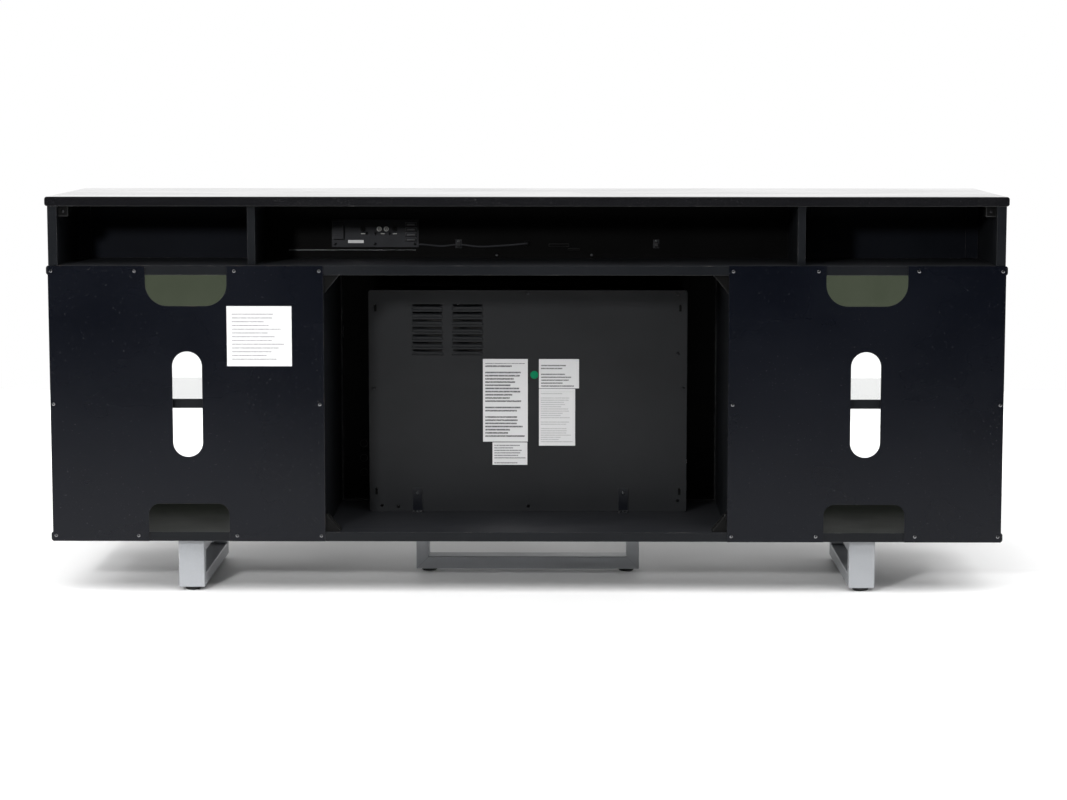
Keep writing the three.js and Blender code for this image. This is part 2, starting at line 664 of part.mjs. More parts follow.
const soundbarHalf = UPPER_DIVIDER_IN - SEAT;
const soundbarDrivers = { left: -SOUNDBAR_DRIVER_SPACING / 2, right: SOUNDBAR_DRIVER_SPACING / 2 };
const ampOpening = block(
  AMP_X0 + AMP_LIP,
  AMP_X1 - AMP_LIP,
  SPEAKER_REAR - SOUNDBAR_WALL - 1,
  SPEAKER_REAR + 1,
  AMP_LOW + AMP_LIP,
  AMP_TOP - AMP_LIP,
);
const soundbarCase = speakerCase(
  -soundbarHalf,
  soundbarHalf,
  SOUNDBAR_WALL,
  TWEETER_RADIUS,
  Object.values(soundbarDrivers),
).subtract(ampOpening);
addPart('soundbar_housing', soundbarCase, blackPlastic);
addPart('amplifier', amplifier(), amplifierPlastic);
const soundbarGrilleHalf = UPPER_DIVIDER_IN - REVEAL / 2;
addPart('soundbar_grille', grille(-soundbarGrilleHalf, soundbarGrilleHalf), grilleCloth);
for (const [side, x] of Object.entries(soundbarDrivers)) {
  addPart(`soundbar_driver_${side}`, driver(x, TWEETER_RADIUS), blackPlastic);
}

// ------------------------------------------------------------------ fireplace insert

function rearCover() {
  const flangeFront = COVER_REAR - COVER_FLANGE;
  const outline = roundedOutline(-COVER_HALF, COVER_LOW, COVER_HALF, COVER_TOP, SHEET_RADIUS);
  const hollow = roundedOutline(
    -COVER_HALF + SHEET,
    COVER_LOW + SHEET,
    COVER_HALF - SHEET,
    COVER_TOP - SHEET,
    SHEET_RADIUS - SHEET,
  );
  const cutThrough = (x0, x1, z0, z1) => block(x0, x1, COVER_REAR - SHEET - 1, COVER_REAR + 1, z0, z1);
  let cover = extrudeY(outline, flangeFront, COVER_REAR, 3);
  cover = cover.subtract(extrudeY(hollow, flangeFront - 1, COVER_REAR - SHEET, 3));
  for (const column of LOUVRE_COLUMNS) {
    const x = COVER_HALF - column;
    for (let row = 0; row < LOUVRE_ROWS; row += 1) {
      const z = COVER_TOP - LOUVRE_TOP - row * LOUVRE_PITCH;
      cover = cover.subtract(cutThrough(x - LOUVRE_WIDTH / 2, x + LOUVRE_WIDTH / 2, z - LOUVRE_SLOT, z));
    }
  }
  for (const sign of Object.values(SIDES)) {
    const x = sign * (COVER_HALF - KEYHOLE_INSET);
    for (const z of [COVER_TOP - KEYHOLE_TOP, COVER_LOW + KEYHOLE_BOTTOM]) {
      const [halfWide, halfHigh] = [KEYHOLE_WIDTH / 2, KEYHOLE_HEIGHT / 2];
      cover = cover.subtract(cutThrough(x - halfWide, x + halfWide, z - halfHigh, z + halfHigh));
    }
  }
  return cover;
}

const FLICKER_Y = SCREEN_REAR + FLICKER_DEPTH;
const FLICKER_Z = HOUSING_FLOOR + FLICKER_HEIGHT;
const GLAND_Y = COVER_REAR - GLAND_DEPTH;
const GLAND_Z = COVER_LOW + GLAND_HEIGHT;

// A sheet-metal tube, open at the front and the back, with holes for the flicker rod and the gland.
function housing() {
  const outline = roundedOutline(-HOUSING_HALF, HOUSING_LOW, HOUSING_HALF, HOUSING_TOP, SHEET_RADIUS);
  const hollow = roundedOutline(
    -HOUSING_HALF + SHEET,
    HOUSING_LOW + SHEET,
    HOUSING_HALF - SHEET,
    HOUSING_TOP - SHEET,
    SHEET_RADIUS - SHEET,
  );
  const across = HOUSING_HALF + 1;
  const wall = -HOUSING_HALF + SHEET + 1;
  return extrudeY(outline, HOUSING_FRONT, HOUSING_REAR, 3)
    .subtract(extrudeY(hollow, HOUSING_FRONT - 1, HOUSING_REAR + 1, 3))
    .subtract(rodX(AXLE_RADIUS + AXLE_CLEARANCE, -across, across, FLICKER_Y, FLICKER_Z, 12))
    .subtract(rodX(GLAND_RADIUS + AXLE_CLEARANCE, -across, wall, GLAND_Y, GLAND_Z, 16));
}

// The cord bush in the left wall of the housing.
function gland() {
  const outside = -HOUSING_HALF - SEAT;
  const inside = outside + GLAND_LENGTH;
  return rodX(GLAND_RADIUS, outside - GLAND_FLANGE, inside, GLAND_Y, GLAND_Z)
    .add(rodX(GLAND_RADIUS + GLAND_FLANGE, outside - GLAND_FLANGE, outside, GLAND_Y, GLAND_Z))
    .subtract(rodX(GLAND_BORE, outside - GLAND_FLANGE - 1, inside + 1, GLAND_Y, GLAND_Z, 12));
}

const buttonX = TRIM_HALF - TRIM_BORDER / 2;
const buttonHeights = BUTTON_NAMES.map((name, i) => TRIM_LOW + BUTTON_FIRST + i * BUTTON_PITCH);

function frontTrim() {
  const sheetBack = TRIM_FRONT + TRIM_SHEET;
  const cutThrough = (x0, x1, z0, z1) => block(x0, x1, TRIM_FRONT - 1, sheetBack + 1, z0, z1);
  const slotHalf = HEATER_WIDTH / 2 - OUTLET_INSET;
  let trim = block(-TRIM_HALF, TRIM_HALF, TRIM_FRONT, TRIM_BACK, TRIM_LOW, TRIM_TOP);
  trim = trim.subtract(
    block(
      -TRIM_HALF + TRIM_SHEET,
      TRIM_HALF - TRIM_SHEET,
      sheetBack,
      TRIM_BACK + 1,
      TRIM_LOW + TRIM_SHEET,
      TRIM_TOP - TRIM_SHEET,
    ),
  );
  trim = trim.subtract(cutThrough(-WINDOW_HALF, WINDOW_HALF, WINDOW_LOW, WINDOW_TOP));
  for (let i = 0; i < OUTLET_SLOTS; i += 1) {
    const z = HEATER_LOW + OUTLET_INSET + i * OUTLET_PITCH;
    trim = trim.subtract(cutThrough(-slotHalf, slotHalf, z, z + OUTLET_SLOT_HEIGHT));
  }
  const buttonHole = BUTTON_RADIUS + BUTTON_CLEARANCE;
  for (const z of buttonHeights) {
    trim = trim.subtract(rodY(buttonHole, TRIM_FRONT - 1, sheetBack + 1, buttonX, z, 20));
  }
  return trim;
}

function pushButton(z) {
  const lipFront = TRIM_FRONT + TRIM_SHEET + SEAT;
  const cap = rodY(BUTTON_RADIUS, TRIM_FRONT - BUTTON_PROUD, lipFront + 1, buttonX, z, 20);
  const lip = rodY(BUTTON_RADIUS + BUTTON_LIP, lipFront, lipFront + BUTTON_LIP, buttonX, z, 20);
  return cap.add(lip);
}

function windowPane() {
  const front = TRIM_FRONT + TRIM_SHEET + SEAT;
  return block(
    -WINDOW_HALF - WINDOW_LAP,
    WINDOW_HALF + WINDOW_LAP,
    front,
    front + WINDOW_GLASS,
    WINDOW_LOW - WINDOW_LAP,
    WINDOW_TOP + WINDOW_LAP,
  );
}

function flameScreen() {
  const half = HOUSING_HALF - SHEET_RADIUS - SEAT;
  return block(-half, half, SCREEN_FRONT, SCREEN_REAR, HOUSING_FLOOR, HEATER_LOW - SEAT);
}

// A moulded ember bed with logs that lean on each other. A log's middle is x half-widths along the
// bed and lift radii above its crest, its length is in half-widths, and its tilt is in radians.
function logBed() {
  const rear = SCREEN_FRONT - SEAT;
  const front = rear - LOG_BED_DEPTH;
  const half = WINDOW_HALF - WINDOW_LAP;
  const middle = (front + rear) / 2;
  const crest = HOUSING_FLOOR + LOG_BED_HEIGHT;
  const slope = polygon([
    [front, HOUSING_FLOOR],
    [rear, HOUSING_FLOOR],
    [rear, crest + LOG_RADIUS],
    [middle, crest],
    [front, crest - LOG_RADIUS],
  ]);
  const logs = [
    { x: -0.38, lift: 0.7, tilt: 0.1, length: 0.9 },
    { x: 0.4, lift: 0.7, tilt: -0.08, length: 0.95 },
    { x: 0, lift: 1.5, tilt: -0.16, length: 0.8 },
  ];
  let bed = extrudeX(slope, -half, half);
  for (const { x, lift, tilt, length } of logs) {
    const log = new THREE.CylinderGeometry(LOG_RADIUS, LOG_RADIUS, half * length, 9);
    log.rotateZ(Math.PI / 2);
    log.rotateY(tilt);
    log.translate(x * half, middle, crest + lift * LOG_RADIUS);
    bed = bed.add(solid(log));
  }
  return bed;
}

const WHEEL_Y = HEATER_FRONT + HEATER_DEPTH / 2;
const WHEEL_Z = (HEATER_LOW + HEATER_TOP) / 2;
const HEATER_HALF = HEATER_WIDTH / 2;

// A sheet-metal box, open at the front, that carries the blower wheel between its side walls.
function heaterBox() {
  const rear = HEATER_FRONT + HEATER_DEPTH;
  const inside = block(
    -HEATER_HALF + SHEET,
    HEATER_HALF - SHEET,
    HEATER_FRONT - 1,
    rear - SHEET,
    HEATER_LOW + SHEET,
    HEATER_TOP - SHEET,
  );
  const across = HEATER_HALF + 1;
  return block(-HEATER_HALF, HEATER_HALF, HEATER_FRONT, rear, HEATER_LOW, HEATER_TOP)
    .subtract(inside)
    .subtract(rodX(AXLE_RADIUS + AXLE_CLEARANCE, -across, across, WHEEL_Y, WHEEL_Z, 12));
}

function blowerWheel() {
  const half = HEATER_HALF - SHEET - WHEEL_END_GAP;
  const stub = HEATER_HALF + AXLE_STUB;
  let wheel = rodX(AXLE_RADIUS, -stub, stub, 0, 0, 12);
  for (const sign of Object.values(SIDES)) {
    wheel = wheel.add(rodX(WHEEL_RADIUS, sign * half, sign * (half - WHEEL_DISC), 0, 0, 16));
  }
  for (let i = 0; i < WHEEL_BLADES; i += 1) {
    const blade = new THREE.BoxGeometry(2 * half - WHEEL_DISC, BLADE_WIDTH, BLADE_THICK);
    blade.translate(0, WHEEL_RADIUS - BLADE_WIDTH, 0);
    blade.rotateX((i * 2 * Math.PI) / WHEEL_BLADES);
    wheel = wheel.add(solid(blade));
  }
  return wheel;
}

// The turning rod behind the flame screen, with bright flags that throw moving light on it.
function flickerRod() {
  const stub = HOUSING_HALF + AXLE_STUB;
  const pitch = (2 * HOUSING_HALF) / (FLAG_COUNT + 1);
  let rod = rodX(AXLE_RADIUS, -stub, stub, 0, 0, 12);
  for (let i = 0; i < FLAG_COUNT; i += 1) {
    const flag = new THREE.BoxGeometry(FLAG_LENGTH, 2 * FLAG_REACH, FLAG_THICK);
    flag.rotateX(i * FLAG_TURN);
    flag.translate((i - (FLAG_COUNT - 1) / 2) * pitch, 0, 0);
    rod = rod.add(solid(flag));
  }
  return rod;
}

// An angle that holds the insert down: one leg up its rear cover, one leg along the bottom panel.
function holdDown(x) {
  const y = COVER_REAR + SEAT;
  const z = BOTTOM_TOP + SEAT;
  const [x0, x1] = [x - BRACKET_WIDTH / 2, x + BRACKET_WIDTH / 2];
  return block(x0, x1, y, y + BRACKET_SHEET, z, z + BRACKET_HEIGHT)
    .add(block(x0, x1, y, y + BRACKET_FOOT, z, z + BRACKET_SHEET));
}

addPart('firebox_housing', housing(), fireboxSteel);
addPart('firebox_rear_cover', rearCover(), fireboxSteel);
addPart('firebox_trim', frontTrim(), trimSteel);
addPart('firebox_glass', windowPane(), windowGlass);
addPart('flame_screen', flameScreen(), screenPlastic);
addPart('log_bed', logBed(), resinLog);
addPart('heater_box', heaterBox(), fireboxSteel);
addPart('blower_wheel', blowerWheel(), brightMetal, [0, WHEEL_Y, WHEEL_Z]);
addPart('flicker_rod', flickerRod(), brightMetal, [0, FLICKER_Y, FLICKER_Z]);
addPart('power_gland', gland(), blackPlastic);
BUTTON_NAMES.forEach((name, i) => addPart(name, pushButton(buttonHeights[i]), buttonPlastic));
for (const [side, x] of Object.entries(BRACKET_PLACES)) {
  addPart(`hold_down_bracket_${side}`, holdDown(x), fireboxSteel);
}

// ------------------------------------------------------------------ glass doors

// A clamp on one outer corner of the glass, with the pin that turns in the panel above or below.
function pivotClamp(sign, edge, directionZ) {
  const outer = sign * DOOR_OUT;
  const inner = sign * (DOOR_OUT - CLAMP_LENGTH);
  const half = CLAMP_THICK / 2;
  const slotHalf = DOOR_GLASS / 2 + SEAT;
  const slotStart = edge + directionZ * CLAMP_BASE;
  const farEdge = edge + directionZ * CLAMP_HEIGHT;
  const body = block(inner, outer, DOOR_MIDDLE - half, DOOR_MIDDLE + half, edge, farEdge);
  const slot = block(
    inner - sign,
    outer + sign,
    DOOR_MIDDLE - slotHalf,
    DOOR_MIDDLE + slotHalf,
    slotStart,
    farEdge + directionZ,
  );
  const pinEnd = edge - directionZ * (REVEAL + PIVOT_LENGTH);
  const pin = rodZ(PIVOT_RADIUS, pinEnd, edge + directionZ, sign * PIVOT_X, DOOR_MIDDLE, 12);
  return body.subtract(slot).add(pin);
}

forBothSides((side, sign) => {
  const glass = block(
    sign * DOOR_IN,
    sign * DOOR_OUT,
    DOOR_FRONT,
    DOOR_FRONT + DOOR_GLASS,
    DOOR_LOW + CLAMP_BASE + SEAT,
    DOOR_TOP - CLAMP_BASE - SEAT,
  );
  addPart(`door_glass_${side}`, glass, smokedGlass);
  addPart(`door_pivot_bottom_${side}`, pivotClamp(sign, DOOR_LOW, 1), pivotSteel);
  addPart(`door_pivot_top_${side}`, pivotClamp(sign, DOOR_TOP, -1), pivotSteel);
});

export default cabinet;
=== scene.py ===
"""Looks for a low media cabinet that is shown from behind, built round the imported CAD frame.

Metres, in the row's frame: +Z up, the glass doors face -Y and the open back faces +Y.
"""

import json
import math
import random

import bmesh
import bpy
from mathutils import Matrix, Vector, noise


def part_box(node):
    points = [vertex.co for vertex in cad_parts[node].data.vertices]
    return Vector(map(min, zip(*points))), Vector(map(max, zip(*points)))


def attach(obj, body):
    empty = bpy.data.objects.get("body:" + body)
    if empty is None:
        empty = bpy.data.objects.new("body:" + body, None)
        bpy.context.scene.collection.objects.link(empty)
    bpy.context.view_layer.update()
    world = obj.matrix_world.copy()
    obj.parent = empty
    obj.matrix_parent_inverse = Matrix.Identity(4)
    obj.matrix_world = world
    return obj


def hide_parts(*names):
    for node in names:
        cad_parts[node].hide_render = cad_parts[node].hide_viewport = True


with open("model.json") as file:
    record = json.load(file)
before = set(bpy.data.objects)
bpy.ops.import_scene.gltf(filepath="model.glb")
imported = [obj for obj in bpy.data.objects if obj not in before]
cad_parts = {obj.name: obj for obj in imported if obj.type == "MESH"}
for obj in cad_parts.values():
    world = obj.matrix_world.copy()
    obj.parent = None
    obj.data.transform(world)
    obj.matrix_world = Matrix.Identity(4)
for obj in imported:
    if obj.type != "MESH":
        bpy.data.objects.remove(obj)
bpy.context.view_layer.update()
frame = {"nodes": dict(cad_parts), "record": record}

MM = 0.001
TUBE_THIN = 25 * MM  # the narrow side of the leg loops' tube
SIDES = {"left": -1, "right": 1}
NODES = frame["nodes"]
BODIES = frame["record"]["behaviour"]["bodies"]
BODY_OF = {node: body for body, nodes in BODIES.items() for node in nodes}
SLOT_OF = {part["node"]: part["material_slot"] for part in frame["record"]["subparts"]}
scene = bpy.context.scene


# ---------- finishes


class Finish:
    """A node material whose patterns are fixed in the row's frame."""

    def __init__(self, name):
        self.material = bpy.data.materials.new(name)
        self.material.use_nodes = True
        self.tree = self.material.node_tree
        self.shader = self.tree.nodes["Principled BSDF"]
        self.place = self.node("ShaderNodeTexCoord").outputs["Object"]
        self.normal = None

    def node(self, kind, inputs=None, **settings):
        """A new node, with its settings, and a value or a socket for each of its inputs."""
        made = self.tree.nodes.new(kind)
        for key, value in settings.items():
            setattr(made, key, value)
        for key, value in (inputs or {}).items():
            self.feed(made.inputs[key], value)
        return made

    def feed(self, socket, value):
        if isinstance(value, bpy.types.NodeSocket):
            self.tree.links.new(value, socket)
        elif socket.type == "RGBA" and len(value) == 3:
            socket.default_value = (*value, 1)
        else:
            socket.default_value = value

    def set(self, values):
        """Gives the shader's named inputs their values or sockets."""
        for key, value in values.items():
            self.feed(self.shader.inputs[key], value)

    def math(self, operation, a, b=0.0):
        made = self.node("ShaderNodeMath", {0: a, 1: b}, operation=operation)
        return made.outputs[0]

    def span(self, value, low, high, to_low=0.0, to_high=1.0):
        """The value moved from the range low to high into another range, and kept in it."""
        ends = {"Value": value, "From Min": low, "From Max": high, "To Min": to_low, "To Max": to_high}
        return self.node("ShaderNodeMapRange", ends).outputs["Result"]

    def mix(self, factor, a, b):
        return self.node("ShaderNodeMix", {0: factor, 6: a, 7: b}, data_type="RGBA").outputs[2]

    def axes(self):
        return self.node("ShaderNodeSeparateXYZ", {0: self.place}).outputs

    def noise(self, size, detail=3.0, stretch=(1, 1, 1), distortion=0.0):
        """Soft noise whose lumps are about size metres, longer along an axis whose stretch is over 1."""
        scale = tuple(1 / (size * s) for s in stretch)
        place = self.node("ShaderNodeMapping", {"Vector": self.place, "Scale": scale}).outputs[0]
        inputs = {"Vector": place, "Scale": 1.0, "Detail": detail, "Distortion": distortion}
        return self.node("ShaderNodeTexNoise", inputs).outputs[0]

    def tone(self, size):
        """Soft patches about size metres across, with faint streaks in them."""
        patches = self.math("MULTIPLY", self.noise(size, 4), 0.8)
        streaks = self.math("MULTIPLY", self.noise(size / 6, 4, stretch=(3, 1, 1)), 0.2)
        return self.math("ADD", patches, streaks)

    def relief(self, height, distance):
        """Raises the surface by distance where height is 1, on top of any relief it has."""
        inputs = {"Height": height, "Distance": distance}
        if self.normal is not None:
            inputs["Normal"] = self.normal
        self.normal = self.node("ShaderNodeBump", inputs).outputs[0]
        self.feed(self.shader.inputs["Normal"], self.normal)


def surface(name, dark, light, rough, mottle=0.12, grain=0.0011, depth=3e-5, flecks=0.0, extra=None):
    """Two tones in soft patches and streaks, uneven roughness, a fine grain in relief and pale flecks."""
    f = Finish(name)
    tone = f.tone(mottle)
    colour = f.mix(f.span(tone, 0.36, 0.64), dark, light)
    if flecks:
        pale = tuple(min(1, flecks + c) for c in light)
        colour = f.mix(f.span(f.noise(0.0035, 2), 0.70, 0.76), colour, pale)
    f.set({"Base Color": colour, "Roughness": f.span(tone, 0.3, 0.7, *rough)})
    f.relief(f.noise(grain, 2), depth)
    f.set(extra or {})
    return f


def edge_highlight_and_wear(name, paint, bare, rough, share=0.5):
    """An edge painted lighter than its face, a painted edge highlight, with places where handling has rubbed
    the paint thin.
    """
    f = Finish(name)
    rubbed = f.span(f.noise(0.018, 5), 0.62 - 0.2 * share, 0.7)
    scuffs = f.span(f.noise(0.003, 3), 0.45, 0.6)
    f.set({"Base Color": f.mix(f.math("MULTIPLY", rubbed, scuffs), paint, bare)})
    f.set({"Roughness": f.span(rubbed, 0, 1, *rough)})
    f.relief(f.noise(0.0012, 2), 3e-5)
    return f


def gloss_lacquer():
    """Black lacquer: near mirror, with wiped smears, hairline scratches and settled dust."""
    f = Finish("black_lacquer")
    smears = f.noise(0.16, 5, stretch=(2.2, 1, 1), distortion=0.6)
    hairs = f.span(f.noise(0.0025, 2, stretch=(40, 1, 1)), 0.68, 0.72)
    dust = f.math("MULTIPLY", f.span(f.noise(0.0022, 1), 0.69, 0.74), f.span(smears, 0.4, 0.7))
    colour = f.mix(f.math("MULTIPLY", dust, 0.35), (0.006, 0.006, 0.007), (0.16, 0.16, 0.16))
    f.set({"Base Color": colour, "Coat Weight": 0.6, "Coat Roughness": 0.05, "Coat IOR": 1.5})
    wander = f.math("ADD", f.span(smears, 0.35, 0.7, 0.1, 0.2), f.math("MULTIPLY", hairs, 0.1))
    f.set({"Roughness": wander, "IOR": 1.55})
    f.relief(f.noise(0.007, 2), 4e-6)
    return f


def speaker_cloth():
    """Black cloth: over-and-under threads in relief, with darker gaps between them."""
    f = Finish("speaker_cloth")
    pitch = 1.3 * MM
    x, _, z = f.axes()
    waves = [f.math("SINE", f.math("MULTIPLY", axis, math.tau / pitch)) for axis in (x, z)]
    weave = f.span(f.math("MULTIPLY", *waves), -1, 1)
    slubs = f.noise(0.004, 3, stretch=(6, 1, 1))
    thread = f.math("MULTIPLY", weave, f.span(slubs, 0.3, 0.7, 0.75, 1.0))
    f.set({"Base Color": f.mix(thread, (0.003, 0.003, 0.0032), (0.02, 0.02, 0.021))})
    f.set({"Roughness": 0.9, "Sheen Weight": 0.25, "Sheen Roughness": 0.4})
    f.relief(weave, 2.5e-4)
    return f


def powder_coat(name, dark, light, rough):
    """Sprayed powder coat: pebbled orange peel with fine pits."""
    f = surface(name, dark, light, rough, mottle=0.2, grain=0.0022, depth=5e-5)
    pits = f.span(f.noise(0.0008, 1), 0.3, 0.42)
    f.relief(pits, 2e-5)
    f.set({"Specular IOR Level": 0.25})
    return f


def leg_paint():
    """Silver powder coat, with a hairline where the mitred corners of each loop meet."""
    f = Finish("silver_coat")
    flake = f.noise(0.0009, 1)
    patches = f.noise(0.12, 4)
    colour = f.mix(f.span(patches, 0.35, 0.65), (0.33, 0.342, 0.358), (0.39, 0.403, 0.422))
    colour = f.mix(f.span(flake, 0.6, 0.7, 0, 0.35), colour, (0.52, 0.53, 0.56))
    x, y, z = f.axes()
    lo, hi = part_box("leg_loop_left")
    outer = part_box("leg_loop_middle")[1]
    from_end = f.math("SUBTRACT", hi.y, f.math("ABSOLUTE", y))
    from_side = f.math("SUBTRACT", outer.x, f.math("ABSOLUTE", x))
    in_middle = f.math("LESS_THAN", f.math("ABSOLUTE", x), outer.x + MM)
    along = f.node("ShaderNodeMix", {0: in_middle, 2: from_end, 3: from_side}).outputs[0]
    near_corner = f.math("LESS_THAN", along, TUBE_THIN * 1.02)
    lines = []
    for rise in (f.math("SUBTRACT", z, lo.z), f.math("SUBTRACT", hi.z, z)):
        off = f.math("ABSOLUTE", f.math("SUBTRACT", along, rise))
        lines.append(f.math("MULTIPLY", f.math("LESS_THAN", off, 0.35 * MM), near_corner))
    seam = f.math("MAXIMUM", *lines)
    f.set({"Base Color": f.mix(f.math("MULTIPLY", seam, 0.7), colour, (0.10, 0.10, 0.105))})
    f.set({"Roughness": f.span(patches, 0.3, 0.7, 0.36, 0.48), "Metallic": 0.2})
    f.relief(f.noise(0.0016, 2), 2.5e-5)
    f.relief(f.math("SUBTRACT", 1.0, seam), 3e-4)
    return f


def bordered_glass():
    """Tempered door glass: a clear field inside a smoked olive border."""
    f = Finish("door_glass")
    lo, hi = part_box("door_glass_left")
    x, _, z = f.axes()
    middle = Vector((abs(lo.x + hi.x) / 2, (lo.z + hi.z) / 2))
    field = Vector(((hi.x - lo.x) / 2 - 70 * MM, 157 * MM))
    across = f.math("ABSOLUTE", f.math("SUBTRACT", f.math("ABSOLUTE", x), middle.x))
    up = f.math("ABSOLUTE", f.math("SUBTRACT", z, middle.y - 10 * MM))
    past = f.math("MAXIMUM", f.math("SUBTRACT", across, field.x), f.math("SUBTRACT", up, field.y))
    border = f.span(past, -0.4 * MM, 0.4 * MM)
    cloud = f.noise(0.05, 3)
    smoke = f.mix(f.span(cloud, 0.3, 0.7), (0.052, 0.062, 0.042), (0.058, 0.068, 0.047))
    f.set({"Base Color": f.mix(border, (0.98, 0.99, 0.985), smoke)})
    f.set({"Transmission Weight": 1.0, "IOR": 1.5, "Roughness": 0.0})
    f.relief(cloud, 2e-6)
    return f


def clear_glass():
    """The insert's window: lightly tinted glass, a little wavy."""
    f = Finish("window_glass")
    cloud = f.noise(0.07, 3)
    f.set({"Base Color": f.mix(f.span(cloud, 0.3, 0.7), (0.80, 0.82, 0.84), (0.84, 0.86, 0.87))})
    f.set({"Transmission Weight": 1.0, "IOR": 1.5, "Roughness": 0.0})
    f.relief(cloud, 2e-6)
    return f


def frosted_screen():
    """The screen behind the logs, with dim tongues of flame printed on its lower half."""
    f = Finish("frosted_screen")
    x, _, z = f.axes()
    tongues = f.noise(0.05, 4, stretch=(0.7, 1, 2.6), distortion=1.2)
    lo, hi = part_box("flame_screen")
    low = f.span(z, lo.z, hi.z, 1, 0)
    flame = f.span(f.math("MULTIPLY", tongues, low), 0.2, 0.5)
    f.set({"Base Color": f.mix(flame, (0.035, 0.032, 0.03), (0.16, 0.105, 0.06))})
    f.set({"Roughness": 0.42, "Transmission Weight": 0.12, "IOR": 1.49})
    f.relief(f.noise(0.0015, 2), 4e-5)
    return f


def bark():
    """Painted resin bark: long fissures, pale ash on the ridges and charred patches."""
    f = Finish("bark")
    ridges = f.noise(0.007, 5, stretch=(4.5, 1, 1), distortion=0.8)
    char = f.span(f.noise(0.035, 4), 0.42, 0.62)
    colour = f.mix(f.span(ridges, 0.38, 0.62), (0.035, 0.02, 0.012), (0.17, 0.105, 0.062))
    colour = f.mix(char, colour, (0.02, 0.018, 0.017))
    colour = f.mix(f.span(f.noise(0.004, 3), 0.62, 0.7, 0, 0.7), colour, (0.36, 0.34, 0.32))
    f.set({"Base Color": colour, "Roughness": f.span(ridges, 0.3, 0.7, 0.95, 0.7)})
    f.relief(ridges, 1.6e-3)
    f.relief(f.noise(0.0015, 3), 3e-4)
    return f


def embers():
    """Moulded embers: amber resin that shows through black char and grey ash."""
    f = Finish("embers")
    crust = f.noise(0.011, 5)
    ash = f.span(f.noise(0.005, 4), 0.55, 0.68)
    colour = f.mix(f.span(crust, 0.42, 0.56), (0.42, 0.13, 0.025), (0.022, 0.018, 0.016))
    colour = f.mix(f.math("MULTIPLY", ash, 0.8), colour, (0.30, 0.285, 0.27))
    f.set({"Base Color": colour, "Roughness": f.span(crust, 0.4, 0.6, 0.45, 0.9)})
    f.relief(crust, 1.2e-3)
    f.relief(f.noise(0.0018, 3), 3e-4)
    return f


def board_top_painted_light():
    """Board tops: a painted sheen, lighter than the board's other faces, except on the floors of the two
    closed bays, which get painted shade.
    """
    f = Finish("board_top_painted_light")
    x, _, z = f.axes()
    closed = f.math("GREATER_THAN", f.math("ABSOLUTE", x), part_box("lower_divider_right")[0].x)
    low = f.math("LESS_THAN", z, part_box("bottom_panel")[1].z + MM)
    shaded = f.math("MULTIPLY", closed, low)
    patches = f.span(f.noise(0.12, 4), 0.36, 0.64)
    # The pale tone is a painted sheen on the tops. The dark tone and the weaker reflection are painted shade
    # on the closed bays' floors.
    painted_sheen = f.mix(patches, (0.015, 0.0158, 0.018), (0.019, 0.0198, 0.022))
    dark = f.mix(patches, (0.0030, 0.0044, 0.0026), (0.0042, 0.0058, 0.0036))
    f.set({"Base Color": f.mix(shaded, painted_sheen, dark), "Roughness": f.span(f.tone(0.12), 0.3, 0.7, 0.42, 0.5)})
    f.set({"Specular IOR Level": f.span(shaded, 0, 1, 0.22, 0.03)})
    f.relief(f.noise(0.0011, 2), 8e-6)
    return f


def rolled_metal(name, dark, light, rough=(0.18, 0.32)):
    """Bare metal with the fine lines left by rolling."""
    f = Finish(name)
    lines = f.noise(0.0007, 3, stretch=(30, 1, 1))
    stains = f.noise(0.03, 3)
    f.set({"Base Color": f.mix(f.span(stains, 0.35, 0.65), dark, light), "Metallic": 1.0})
    f.set({"Roughness": f.span(lines, 0.3, 0.7, *rough)})
    f.relief(lines, 8e-6)
    return f


def paper(name, rect, rows, fill, ink=0.6, margin=0.08):
    """A white paper label. Its rows are plain ruled bars of uneven length, and hold no lettering."""
    f = Finish(name)
    x0, x1, z0, z1 = (v * MM for v in rect)
    x, _, z = f.axes()
    u, v = f.span(x, x1, x0), f.span(z, z1, z0)
    row = f.math("MULTIPLY", v, rows)
    inside = f.math("LESS_THAN", f.math("FRACT", row), fill)
    where = f.node("ShaderNodeCombineXYZ", {0: f.math("FLOOR", row), 1: rows * 0.37}).outputs[0]
    chance = f.node("ShaderNodeTexWhiteNoise", {"Vector": where}, noise_dimensions="3D")
    length, colour = chance.outputs
    skip = f.node("ShaderNodeSeparateColor", {0: colour}).outputs[1]
    inside = f.math("MULTIPLY", inside, f.math("GREATER_THAN", skip, 0.14))
    for test, edge in (("GREATER_THAN", margin), ("LESS_THAN", f.span(length, 0, 1, 0.55, 1 - margin))):
        inside = f.math("MULTIPLY", inside, f.math(test, u, edge))
    for test, edge in (("GREATER_THAN", margin), ("LESS_THAN", 1 - margin)):
        inside = f.math("MULTIPLY", inside, f.math(test, v, edge))
    speckle = f.span(f.noise(0.0024, 2), 0.35, 0.5, 0.45, 1.0)
    inked = f.math("MULTIPLY", f.math("MULTIPLY", inside, speckle), ink)
    fibre = f.mix(f.noise(0.002, 3), (0.62, 0.62, 0.625), (0.68, 0.68, 0.685))
    f.set({"Base Color": f.mix(inked, fibre, (0.03, 0.03, 0.032)), "Roughness": 0.55})
    f.relief(f.noise(0.0009, 2), 2e-5)
    return f


